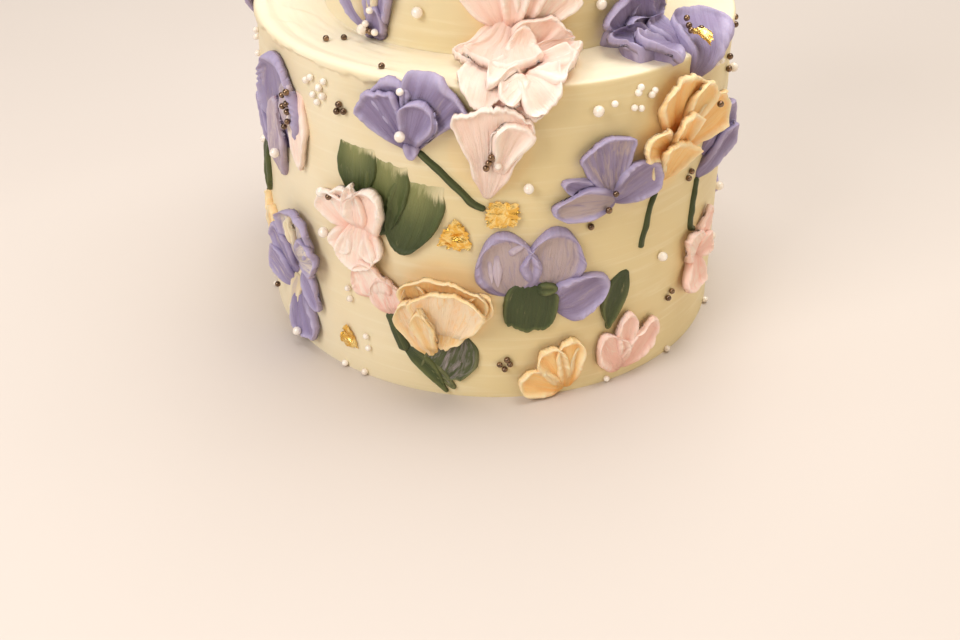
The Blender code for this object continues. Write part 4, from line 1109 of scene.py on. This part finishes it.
LEAF_TRIO = Bloom("leaf_trio_front", Tone.LEAF, (
    Dab((18, 60.5), (15.5, 36), 24, BLOCK, 1.4, 2.0, ragged=1.6, streak=0.3, rim=0.8),
    Dab((18.5, 56.5), (28, 56.5), 6, TONGUE, 2.6, 3.2, ragged=0.4),
), anchor=(17.5, 45.25))
LEAF_POINTED = Bloom("leaf_pointed_right", Tone.LEAF, (
    Dab((61, 57), (52.5, 29.5), 13, BLADE, 1.5, 2.2, bow=2, ragged=0.3, streak=0.22, smear=0.12),
), anchor=(61.0, 56.0))

PINK_FAN = Bloom("pink_fan_right", Tone.ROSE, (
    Dab((61, 4), (49.5, 28), 17, PAD, 2.0, 4.0, 1.2, bow=1, ragged=0.8, rim=1.5, smear=0.3),
    Dab((62, 8), (62, 35.5), 11, SHELL, 2.4, 4.2, 1.2),
    Dab((62, 5), (78.5, 27), 16, PAD, 2.0, 4.4, 1.2, bow=-0.5, rim=1.5),
), anchor=(61.67, 5.67))
PEACH_FAN = Bloom("peach_fan_front", Tone.PEACH, (
    Dab((34.5, 2.5), (34, 31), 14, SHELL, 2.8, 4.2, 1.8, ragged=0.9, flute=0.6, deep=0.5, streak=0.3),
    Dab((33.5, 3.5), (22.5, 27.5), 14, SHELL, 3.0, 4.2, 1.8, ragged=0.8, flute=0.5, deep=0.4),
    Dab((33, 3), (12.5, 12.5), 15, SHELL, 3.0, 4.2, 1.8, ragged=0.8, flute=0.4, deep=0.4),
    Dab((36.5, 5), (38, 26), 7, TONGUE, 2.6, 3.4, 1.0, deep=0.3),
), anchor=(33.5, 3.0))

PINK_EDGE = Bloom("pink_ruffle_edge", Tone.ROSE, (
    Dab((112, 46), (121, 65), 12, TONGUE, 2.0, 3.0, 1.0),
    Dab((112, 45), (97, 60), 16, PAD, 2.6, 4.0, 2.0, ragged=0.8, smear=0.8),
    Dab((110, 45), (124, 48), 14, SHELL, 2.6, 3.8, 1.8, ragged=0.8),
    Dab((110, 47), (105, 28), 22, SHELL, 2.6, 4.2, 2.0, ragged=1.0, smear=0.6, flute=0.5, deep=0.4),
), anchor=(110.75, 45.5))

CREAM_UPPER = Bloom("lilac_cream_upper", Tone.LILAC, (
    Dab((-77, 175), (-104, 208), 22, SHELL, 2.4, 3.6, 2.2, bow=1.5, ragged=0.8, streak=0.25),
    Dab((-75, 175), (-69, 207), 15, SHELL, 2.4, 3.6, 2.2, ragged=0.8, streak=0.25),
    Dab((-79, 179), (-84, 213), 18, SHELL, 3.4, 4.6, 2.0, ragged=1.4, tone=Tone.CREAM, deep=0.5,
        flute=0.5),
    Dab((-73, 175), (-71, 192), 9, TONGUE, 3.0, 3.8, 1.5, streak=0.25),
), anchor=(-77.0, 176.7), pearls=((-78.0, 179.5, 4.6),), seeds=((-73, 190, 4.6), (-76, 184, 5.0),
    (-70.5, 177, 4.0)), darks=((-75.5, 180, 4.4), (-73.5, 178.5, 4.2)))

RIM_BACK = Bloom("lilac_rim_back_left", Tone.LILAC, (
    Dab((-178, 132), (-170, 160), 24, SHELL, 2.4, 3.6, 3.5),
    Dab((-179, 131), (-192, 152), 18, SHELL, 2.4, 3.6, 3.0),
), anchor=(-178.5, 131.5))
LEAF_EDGE = Bloom("leaf_edge_left", Tone.LEAF, (
    Dab((-142, 87), (-141, 60), 12, SMEAR, 1.6, 2.4, ragged=0.5),
), anchor=(-143.0, 85.0))
PEACH_EDGE = Bloom("peach_fan_edge_left", Tone.PEACH, (
    Dab((-141, 34), (-131, 55), 14, SHELL, 2.4, 3.4, ragged=0.8),
    Dab((-142, 34), (-147, 57), 14, SHELL, 2.4, 3.4, ragged=0.8),
), anchor=(-141.5, 34.0))

FRONT = (TULIP, PAIR, PAIR_STEM, CREST, FALL, BURST, TRUMPET, RUFFLE, BEHIND, BEHIND_STEM, PEACH_RUFFLE,
         THREE_STEM, THREE, LEAF_LEFT, LEAF_MIDDLE, LEAF_RIGHT, PINK_RUFFLE, PINK_PAIR, LEAF_GREY, PEACH_CUP,
         STRIP, LEAF_LOW, LILAC_CREAM, TRIO, LEAF_TRIO, LEAF_POINTED, PINK_FAN, PEACH_FAN, PINK_EDGE,
         CREAM_UPPER, RIM_BACK, LEAF_EDGE, PEACH_EDGE)

# Turned copies: source, node, place of the anchor, mirroring, and the flower whose anchor is used instead
TURNED = (
    (PEACH_RUFFLE, "peach_ruffle_back_left", (-214, 78), -1.0, None),
    (TRIO, "lilac_trio_back_left", (-276, 98), 1.0, None),
    (LEAF_TRIO, "leaf_trio_back_left", (-276, 98), 1.0, TRIO),
    (PINK_RUFFLE, "pink_ruffle_back_left", (-305, 42), 1.0, None),
    (LEAF_RIGHT, "leaf_back_left", (-250, 66), 1.0, None),
    (THREE, "lilac_three_back", (-222, 22), -1.0, None),
    (PEACH_CUP, "peach_cup_back", (312, 74), 1.0, None),
    (PINK_FAN, "pink_fan_back", (266, 16), 1.0, None),
    (LEAF_MIDDLE, "leaf_back", (276, 116), 1.0, None),
    (LEAF_RIGHT, "leaf_back_low", (342, 54), -1.0, None),
    (PAIR, "lilac_pair_back", (232, 118.25), -1.0, None),
    (PAIR_STEM, "lilac_pair_back_stem", (232, 118.25), -1.0, PAIR),
    (LEAF_POINTED, "leaf_pointed_back", (178, 88), 1.0, None),
    (THREE, "lilac_three_back_right", (206, 44), 1.0, None),
    (PEACH_RUFFLE, "peach_ruffle_upper", (-58, 232), -1.0, None),
    (TRIO, "lilac_trio_upper", (62, 246), 1.0, None),
    (LEAF_POINTED, "leaf_pointed_upper", (100, 222), 1.0, None),
    (PAIR, "lilac_pair_upper", (-8, 279), -1.0, None),
    (PINK_FAN, "pink_fan_upper", (-128, 246), -1.0, None),
    (PEACH_FAN, "peach_fan_upper", (150, 226), 1.0, None),
    (PINK_FAN, "pink_fan_upper_back", (-292, 232), 1.0, None),
    (THREE, "lilac_three_upper_back", (262, 250), 1.0, None),
)


@dataclass
class IcingTier:
    """One tier of ivory buttercream with its knife and scraper marks.

    First, last and inner are the climbs of its foot, its rim and its innermost ring. Sides, rows and
    rings count its faces.
    """

    name: str
    node: str
    cake: CakeOutline
    first: float
    last: float
    inner: float
    sides: int
    rows: int
    rings: int
    seed: int

    @property
    def lowest(self) -> bool:
        """True for the tier on which the other one stands."""
        return self.first <= 0

    def build(self) -> bpy.types.Object:
        """A cylinder with rows round its wall and rings on its top, laid on the cake's outline."""
        bpy.ops.object.select_all(action="DESELECT")
        bpy.ops.mesh.primitive_cylinder_add(vertices=self.sides, radius=1.0, depth=1.0,
                                            location=(0.0, 0.0, 0.5), end_fill_type="NGON")
        tier = bpy.context.object
        bpy.ops.object.transform_apply(location=True, rotation=True, scale=True)
        bpy.ops.object.mode_set(mode="EDIT")
        bpy.ops.mesh.select_mode(type="EDGE")
        bpy.ops.mesh.select_all(action="DESELECT")
        bpy.ops.object.mode_set(mode="OBJECT")
        points = tier.data.vertices
        for edge in tier.data.edges:
            ends = [points[index].co.z for index in edge.vertices]
            edge.select = abs(ends[0] - ends[1]) > 0.5
        bpy.ops.object.mode_set(mode="EDIT")
        bpy.ops.mesh.subdivide(number_cuts=self.rows - 1)
        bpy.ops.mesh.select_mode(type="FACE")
        bpy.ops.mesh.select_all(action="DESELECT")
        bpy.ops.object.mode_set(mode="OBJECT")
        for face in tier.data.polygons:
            face.select = face.normal.z > 0.9
        bpy.ops.object.mode_set(mode="EDIT")
        for _ in range(self.rings):
            bpy.ops.mesh.inset(thickness=0.9 / self.rings, use_even_offset=True)
        bpy.ops.object.mode_set(mode="OBJECT")
        tier.name = self.name
        tier.data.name = self.name
        self.lay(tier)
        stand_alone(tier)
        bpy.ops.object.shade_smooth_by_angle(angle=math.radians(50))
        return tier

    def lay(self, tier: bpy.types.Object) -> None:
        """Lay the rows and rings of a cylinder of unit size on the outline, with relief."""
        points = read_points(tier.data)
        bearing = np.arctan2(points[:, 0], -points[:, 1])
        distance = np.hypot(points[:, 0], points[:, 1])
        up = points[:, 2]
        on_top = distance < 0.9995
        climb = self.first + (self.last - self.first) * (1 - (1 - np.clip(up, 0, 1)) ** 1.35)
        top_share = np.clip((1 - distance) / 0.9, 0, 1)
        climb = np.where(on_top, self.last + (self.inner - self.last) * top_share, climb)
        arc = bearing * ARC_RADIUS
        relief = self.relief(arc, climb)
        placed = self.cake.point(arc, climb, relief)
        placed[:, 2] = np.maximum(placed[:, 2], 0.0)
        write_points(tier.data, placed)
        mark = np.full_like(arc, float(self.seed))
        write_attribute(tier.data, "stroke", np.stack((arc, climb, mark), axis=-1))
        # painted top light: share of the paler ledge colour past the lower tier's rim; none on the upper tier
        level = tier.data.attributes.new("level", "FLOAT", "POINT")
        share = smooth((climb - self.last + 1.5) / 3.0) * self.lowest
        level.data.foreach_set("value", np.asarray(share, dtype=np.float32))

    def relief(self, arc: np.ndarray, climb: np.ndarray) -> np.ndarray:
        """How far the icing stands off the outline.

        Args:
            arc: Arc places.
            climb: Climb places.
        Returns:
            Heights in mm.
        """
        around = arc / 42.0
        wall = 0.25 * wander_over(around, climb / 16.0, self.seed)
        wall = wall + 0.05 * wander_over(arc / 26.0, climb / 2.6, self.seed + 1)
        foot = smooth(climb / 3.0) if self.lowest else 1.0
        wall = wall * foot
        cake = self.cake
        start, end = (cake.lower_height, cake.nook) if self.lowest else (cake.crown, cake.middle)
        onto = smooth((climb - start + 1.0) / 3.0) * (1 - smooth((climb - end + 3) / 3.0))
        drift = wander_over(arc / 38.0, climb / 26.0, self.seed + 2)
        phase = climb / 19.0 + 1.1 * drift + 0.012 * arc
        share = phase - np.floor(phase)
        broken = smooth(0.5 + 1.5 * wander_over(arc / 24.0, climb / 9.0, self.seed + 6))
        swoop = broken * np.where(share < 0.94, (share / 0.94) ** 3.0, (1 - share) / 0.06)
        lively = 0.35 + 0.65 * smooth((10.0 - arc) / 60.0) * smooth((arc + 330) / 60.0)
        ledge = lively * (0.45 * swoop + 0.2 * wander_over(arc / 30.0, climb / 3.2, self.seed + 3)
                          + 0.16 * wander_over(arc / 12.0, climb / 1.3, self.seed + 7))
        relief = wall * (1 - onto) + ledge * onto
        if self.lowest:
            line = (143.4 + 1.3 * wander(arc, 11.0, self.seed + 4) + 0.8 * wander(arc, 3.4, self.seed + 5)
                    + 0.5 * wander(arc, 1.7, self.seed + 8))
            torn = smooth((climb - line) / 0.5) * (1 - smooth((climb - 149.0) / 5.0))
            side = smooth((-28.0 - arc) / 14.0) * smooth((arc + 300.0) / 30.0)
            relief = relief + 1.25 * torn * side
        return relief

    def stain(self, tier: bpy.types.Object, blooms: list[Bloom]) -> None:
        """Keep how near each kind of coloured icing lies.

        Args:
            tier: The finished tier.
            blooms: All flowers on the cake.
        """
        points = read_points(tier.data) / MM
        rows = np.zeros_like(points)
        kinds = {"peach_icing": (0, 0.42, 3.2), "pink_icing": (0, 0.3, 3.2), "green_icing": (1, 0.6, 2.6),
                 "lilac_icing": (2, 0.6, 2.2)}
        for bloom in blooms:
            for stroke in bloom.strokes:
                if isinstance(stroke, Stalk):
                    continue
                slot = (stroke.tone or bloom.tone).value.slot
                if slot not in kinds:
                    continue
                column, weight, reach = kinds[slot]
                middle = (0.5 * (stroke.root[0] + stroke.tip[0]), 0.5 * (stroke.root[1] + stroke.tip[1]))
                centre = self.cake.point(np.array(middle[0]), np.array(middle[1]), np.array(0.0))
                away = np.linalg.norm(points - centre, axis=1) - 0.5 * stroke.width
                near = weight * np.exp(-np.clip(away, 0, None) / reach)
                rows[:, column] = np.maximum(rows[:, column], near)
        write_attribute(tier.data, "stain", rows * smooth(rows / 0.3))


@dataclass
class SugarBalls:
    """Polished sugar balls of one size, modelled once and copied."""

    name: str
    radius: float
    finish: SugarFinish
    segments: int = 18
    rings: int = 12
    sunk: float = 0.35

    def build(self, places: list[tuple[float, ...]], cake: CakeOutline, seed: int) -> bpy.types.Object:
        """All balls of this size as one piece.

        Args:
            places: Arc, climb and, where they lie on a petal, height off the icing.
            cake: The icing they lie on.
            seed: Number that picks their turns.
        Returns:
            The joined piece.
        """
        bpy.ops.object.select_all(action="DESELECT")
        bpy.ops.mesh.primitive_uv_sphere_add(segments=self.segments, ring_count=self.rings,
                                             radius=self.radius * MM)
        model = bpy.context.object
        bpy.ops.object.mode_set(mode="EDIT")
        bpy.ops.mesh.select_all(action="SELECT")
        bpy.ops.transform.resize(value=(1.0, 1.0, 0.955))
        bpy.ops.transform.vertex_random(offset=0.012 * self.radius * MM, seed=seed)
        bpy.ops.object.mode_set(mode="OBJECT")
        bpy.ops.object.shade_smooth()
        draw = np.random.default_rng(seed)
        balls = []
        for place in places:
            twin = copied(model, self.name)
            out = place[2] if len(place) > 2 else 0.0
            centre = cake.point(np.array(float(place[0])), np.array(float(place[1])),
                                np.array(out + self.radius - self.sunk))
            centre[2] = max(centre[2], self.radius)
            turn = Matrix.Rotation(draw.uniform(0, 6.28), 4, Vector(draw.normal(size=3)).normalized())
            size = Matrix.Scale(draw.uniform(0.93, 1.05), 4)
            twin.data.transform(Matrix.Translation(Vector(centre * MM)) @ turn @ size)
            balls.append(twin)
        bpy.data.objects.remove(model)
        return joined(balls, self.name)


@dataclass
class GoldFlakes:
    """Torn scraps of gold leaf, crumpled on the icing. Clear, crumple and thick are in mm."""

    name: str = "gold_leaf_flakes"
    cells: int = 22
    clear: float = 1.05
    crumple: float = 0.42
    thick: float = 0.22

    def build(self, flakes: tuple[tuple[float, ...], ...], cake: CakeOutline,
              draped: CakeOutline) -> bpy.types.Object:
        """All scraps as one piece.

        Args:
            flakes: Arc, climb, width, height, height off the icing, turn and corners of each scrap.
            cake: The icing they lie on.
            draped: The outline of petals that lie over a corner, for a scrap on one.
        Returns:
            The joined piece.
        """
        model = slab(self.cells, self.cells)
        points = read_points(model.data)
        scraps = []
        for order, (arc, climb, width, height, out, turn, corners) in enumerate(flakes):
            seed = 900 + 17 * order
            side, up = points[:, 0], points[:, 1]
            square = np.maximum(np.abs(side), np.abs(up))
            around = np.arctan2(up, side)
            radius = np.hypot(side, up)
            blend = np.where(radius > 1e-6, square / np.maximum(radius, 1e-6), 1.0)
            spiky = 1 + 0.10 * wander(around * 10, 2.0, seed) + 0.12 * wander(around * 10, 0.9, seed + 1)
            corner = np.cos(math.pi / corners) / np.cos((around + turn) % (2 * math.pi / corners)
                                                       - math.pi / corners)
            reach = blend * spiky * (0.35 + 0.65 * corner) * 1.15
            across = side * reach * 0.5 * width
            rise = up * reach * 0.5 * height
            creased = (1.7 * wander_over(across / 3.4, rise / 2.3, seed + 2)
                       + 0.4 * wander_over(across / 1.6, rise / 1.3, seed + 3))
            lifted = out + self.clear + self.crumple * creased - 0.3 * np.clip(1 - square, 0, 1)
            lifted = np.where(points[:, 2] > -0.5, lifted, lifted - self.thick)
            twin = copied(model, self.name)
            base = np.full_like(across, float(arc))
            outline = draped if out > 1.0 else cake
            write_points(twin.data, outline.point(base, climb + rise, lifted, across))
            scraps.append(twin)
        bpy.data.objects.remove(model)
        piece = joined(scraps, self.name)
        bpy.ops.object.shade_smooth_by_angle(angle=math.radians(35))
        return piece


# Balls on the bare icing: arc, climb and, where they lie on a petal, height off the icing
LARGE_PEARLS = (
    (41.5, 134), (14, 104), (81, 57), (150, 120), (190, 100), (-200, 118), (-300, 110), (300, 30),
    (-44.9, 192), (62.3, 194), (110, 262), (-170, 220), (200, 205), (-165, 75), (-245, 128), (-325, 128),
    (160, 55), (305, 138), (240, 72), (-262, 40), (-185, 20), (-220, 270), (-250, 210), (210, 280),
    (330, 262), (-20, 245))
SMALL_PEARLS = (
    (-83, 137), (-75, 137.5), (-78, 134), (-82, 130), (-76, 131), (-86, 135), (-79.5, 127.5), (58.5, 132),
    (62, 131), (60, 138), (61, 140), (67, 135.5), (68.5, 137), (49, 135.5), (-67, 44), (-66, 39),
    (-58, 22), (-57, 16), (-144, 137), (-149, 132), (-145, 126), (118, 135), (112, 136), (-71, 1.9),
    (-59.5, 1.9), (54, 1.9), (92, 1.9), (-190, 42), (296, 126), (48, 276), (53, 280), (-98, 216),
    (-102, 221), (330, 200), (335, 204), (60, 199), (-168, 104), (-164, 107), (-170, 108), (-240, 40),
    (-244, 44), (-330, 14), (-326, 18), (-333, 19), (150, 28), (154, 31), (149, 33), (250, 44), (254, 47),
    (318, 24), (322, 28), (-300, 130), (-296, 133), (-200, 228), (-196, 232), (-203, 233), (-240, 285),
    (-236, 288), (190, 246), (194, 250), (300, 285), (305, 288), (298, 291), (10, 236), (14, 240),
    (-150, 1.9), (-230, 1.9), (140, 1.9), (210, 1.9), (290, 1.9), (-310, 1.9), (-258, 1.9))
DARK_BALLS = (
    (-67, 130), (-68.2, 126.8), (-64.6, 127.6), (-92.5, 159.7), (-87.6, 165.8), (-48.6, 150.0, 1.2),
    (3.8, 18.5), (7, 21), (6, 16), (8.3, 18.6), (89, 31.5), (91.5, 34), (134, 131), (135, 125),
    (98.5, 91.5), (96.5, 89), (41.5, 83), (244, 60), (-330, 84), (84, 222), (88, 225), (-86, 272),
    (-82, 275), (-200, 262), (-160, 50), (-163, 47), (-318, 72), (-321, 69), (222, 80), (226, 82),
    (160, 136), (164, 138), (340, 100), (337, 97), (-180, 280), (-184, 283), (-330, 260), (-333, 257),
    (220, 222), (224, 219), (120, 284), (124, 287))
# Scraps of gold: arc, climb, width, height, height off the icing, turn and corners
FLAKES = (
    (-15.5, 81, 14, 15, 0.0, 0.55, 3), (4, 92, 14, 12, 0.0, 0.8, 4), (-68.5, 17, 10, 13, 0.0, 0.5, 3),
    (97.0, 147.5, 7.5, 5, 8.4, 0.4, 4), (259, 90, 12, 13, 0.0, 0.7, 4), (-263, 14, 12, 12, 0.0, 0.3, 3),
    (-190, 130, 11, 11, 0.0, 0.6, 4), (330, 124, 12, 11, 0.0, 0.9, 3), (-225, 205, 11, 10, 0.0, 0.8, 3),
    (130, 258, 11, 12, 0.0, 0.5, 4))


@dataclass
class Garden:
    """Every palette-knife flower, leaf and stem on the cake."""

    cake: CakeOutline
    draped: CakeOutline
    fine: KnifeBlank
    coarse: KnifeBlank
    materials: dict[str, bpy.types.Material] = field(default_factory=dict)

    def blooms(self) -> list[tuple[Bloom, KnifeBlank]]:
        """The flowers of the front, then those turned to the sides, the back and the upper tier."""
        found = [(bloom, self.fine) for bloom in FRONT]
        for source, node, place, flip, about in TURNED:
            origin = replace(source, anchor=about.anchor) if about else source
            found.append((origin.turned(node, place, flip, self.cake), self.coarse))
        return found

    def dressed(self, tone: Tone) -> bpy.types.Material:
        """The tone's material, made once."""
        if tone.name not in self.materials:
            self.materials[tone.name] = tone.value.material()
        return self.materials[tone.name]

    def build(self, bloom: Bloom, blank: KnifeBlank, order: int) -> None:
        """Shape, join and dress one flower, a piece for each colour of icing.

        Args:
            bloom: The flower.
            blank: The slab that its strokes are shaped from.
            order: Its place among the flowers, which picks its irregularities.
        """
        by_tone: dict[Tone, list[bpy.types.Object]] = {}
        for index, stroke in enumerate(bloom.strokes):
            seed = 101 * order + 13 * index + 5
            if isinstance(stroke, Stalk):
                made = blank.piped(stroke, seed, self.cake)
                tone = bloom.tone
            else:
                outline = self.draped if bloom.draped else self.cake
                made = blank.shaped(stroke, seed, outline, bloom.draped)
                tone = stroke.tone or bloom.tone
            by_tone.setdefault(tone, []).append(made)
        for tone, parts in by_tone.items():
            suffix = "icing" if tone is bloom.tone else tone.name.lower() + "_petals"
            piece = joined(parts, f"{bloom.node}_{suffix}")
            dress(piece, self.dressed(tone), tone.value.slot, bloom.node)


@dataclass
class Studio:
    """Pale floor, soft light and the photograph's camera.

    The camera's lengths are in mm and its angles in radians. The floor's size is in metres.
    """

    lens: float = 43.45
    sensor: float = 36.0
    pitch: float = 0.611
    roll: float = 0.008
    yaw: float = -0.008
    eye: Triple = (-1.689, -512.485, 323.605)
    floor_size: float = 6.0
    floor_tones: tuple[Colour, Colour] = ((212, 203, 197), (206, 196, 189))
    surround: Colour = (252, 238, 216)
    surround_strength: float = 0.36

    def floor(self) -> None:
        """A plain pale floor with a faint cloudy tone."""
        bpy.ops.object.select_all(action="DESELECT")
        bpy.ops.mesh.primitive_grid_add(x_subdivisions=4, y_subdivisions=4, size=self.floor_size)
        floor = bpy.context.object
        floor.name = "studio_floor"
        bench = Bench("studio_floor")
        cloud = bench.noise(bench.place(), 3.0, 2.0)
        colour = bench.mix(cloud, *map(linear, self.floor_tones))
        floor.data.materials.append(bench.finish({"Base Color": colour, "Roughness": 0.75}))

    def area(self, name: str, place: Triple, aim: Triple, size: float, power: float, colour: Colour) -> None:
        """One soft lamp.

        Args:
            name: Name of the lamp.
            place: Where it stands, in metres.
            aim: Where it points, in metres.
            size: Width of its face, in metres.
            power: Its power in watts.
            colour: Its colour.
        """
        lamp = bpy.data.lights.new(name, "AREA")
        lamp.size = size
        lamp.energy = power
        lamp.color = colour
        holder = bpy.data.objects.new(name, lamp)
        holder.location = place
        holder.rotation_euler = (Vector(aim) - Vector(place)).to_track_quat("-Z", "Y").to_euler()
        bpy.context.collection.objects.link(holder)

    def lights(self) -> None:
        """A key from the upper left, a golden fill from the right, a broad light above and a surround."""
        self.area("key", (-0.85, -0.85, 1.0), (0.0, 0.0, 0.12), 0.7, 11.6, (1.0, 0.975, 0.95))
        self.area("fill", (1.0, -0.95, 0.3), (0.0, 0.0, 0.10), 1.2, 5.0, (1.0, 0.83, 0.54))
        self.area("above", (0.18, 0.2, 1.5), (0.0, 0.0, 0.1), 1.2, 24.0, (1.0, 0.985, 0.965))
        world = bpy.data.worlds.new("surround")
        world.use_nodes = True
        ground = world.node_tree.nodes["Background"]
        ground.inputs[0].default_value = linear(self.surround)
        ground.inputs[1].default_value = self.surround_strength
        bpy.context.scene.world = world
        bpy.context.scene.view_settings.view_transform = "Standard"

    def camera(self) -> None:
        """The camera, set as the photograph was taken."""
        level = math.cos(self.pitch)
        forward = Vector((math.sin(self.yaw) * level, math.cos(self.yaw) * level, -math.sin(self.pitch)))
        right = Vector((math.cos(self.yaw), -math.sin(self.yaw), 0.0))
        up = right.cross(forward)
        turned_right = math.cos(self.roll) * right + math.sin(self.roll) * up
        turned_up = -math.sin(self.roll) * right + math.cos(self.roll) * up
        data = bpy.data.cameras.new("camera")
        data.lens = self.lens
        data.sensor_width = self.sensor
        data.sensor_fit = "HORIZONTAL"
        data.clip_start = 0.02
        data.clip_end = 50.0
        holder = bpy.data.objects.new("camera", data)
        axes = Matrix((turned_right, turned_up, -forward)).transposed().to_4x4()
        holder.matrix_world = Matrix.Translation(Vector(self.eye) * MM) @ axes
        bpy.context.collection.objects.link(holder)
        bpy.context.scene.camera = holder


def gather(blooms: list[Bloom], bare: tuple[tuple[float, ...], ...], group: str) -> list[tuple[float, ...]]:
    """Places of one kind of ball on the icing and on the flowers."""
    return list(bare) + [place for bloom in blooms for place in getattr(bloom, group)]


def owners(blooms: list[Bloom], group: str) -> list[str]:
    """Nodes of the flowers that carry one kind of ball."""
    return [bloom.node for bloom in blooms if getattr(bloom, group)]


def main() -> None:
    """Build the studio, the tiers, the flowers and the sugar, in that order."""
    logging.basicConfig(level=logging.INFO, format="%(name)s: %(message)s")
    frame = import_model()
    LOG.info("frame has %d nodes", len(frame["nodes"]))
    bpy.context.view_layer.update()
    studio = Studio()
    studio.camera()
    studio.floor()
    studio.lights()

    crisp = CakeOutline(rim_ease=1.0, nook_ease=0.8)
    soft = CakeOutline()
    fine = KnifeBlank(44, 44)
    coarse = KnifeBlank(30, 32)
    draped = CakeOutline(rim_ease=4.0, nook_ease=9.0)
    garden = Garden(soft, draped, fine, coarse)
    pairs = garden.blooms()
    blooms = [bloom for bloom, _ in pairs]

    wall = WallFinish()
    ivory = wall.material()
    tiers = (
        IcingTier("lower_tier_icing", "lower_tier", crisp, first=0.0, last=crisp.lower_height, inner=180.0,
                  sides=512, rows=76, rings=38, seed=31),
        IcingTier("upper_tier_icing", "upper_tier", crisp, first=175.6, last=crisp.crown, inner=372.0,
                  sides=400, rows=60, rings=40, seed=61))
    for tier in tiers:
        piece = tier.build()
        tier.stain(piece, blooms)
        dress(piece, ivory, wall.slot, tier.node)

    for order, (bloom, blank) in enumerate(pairs):
        garden.build(bloom, blank, order)
    fine.discard()
    coarse.discard()

    pearl = SugarFinish("pearl_sugar", "ivory_icing", (252, 245, 238), (243, 230, 218), 0.22, 0.0, 0.8)
    dark = SugarFinish("dark_sugar", "ivory_icing", (98, 72, 50), (140, 108, 78), 0.14, 0.85, 0.9)
    kinds = (
        (SugarBalls("large_sugar_pearls", 2.3, pearl), LARGE_PEARLS, "pearls"),
        (SugarBalls("small_sugar_pearls", 1.5, pearl), SMALL_PEARLS, "seeds"),
        (SugarBalls("dark_sugar_balls", 1.45, dark), DARK_BALLS, "darks"))
    polish = {pearl: pearl.material(), dark: dark.material()}
    for number, (balls, bare, group) in enumerate(kinds):
        piece = balls.build(gather(blooms, bare, group), soft, 70 + number)
        dress(piece, polish[balls.finish], balls.finish.slot, "lower_tier", "upper_tier",
              *owners(blooms, group))

    gold = LeafGoldFinish()
    piece = GoldFlakes().build(FLAKES, soft, draped)
    dress(piece, gold.material(), gold.slot, "lower_tier", "upper_tier", "lilac_ruffle_ledge")


if __name__ == "__main__":
    main()
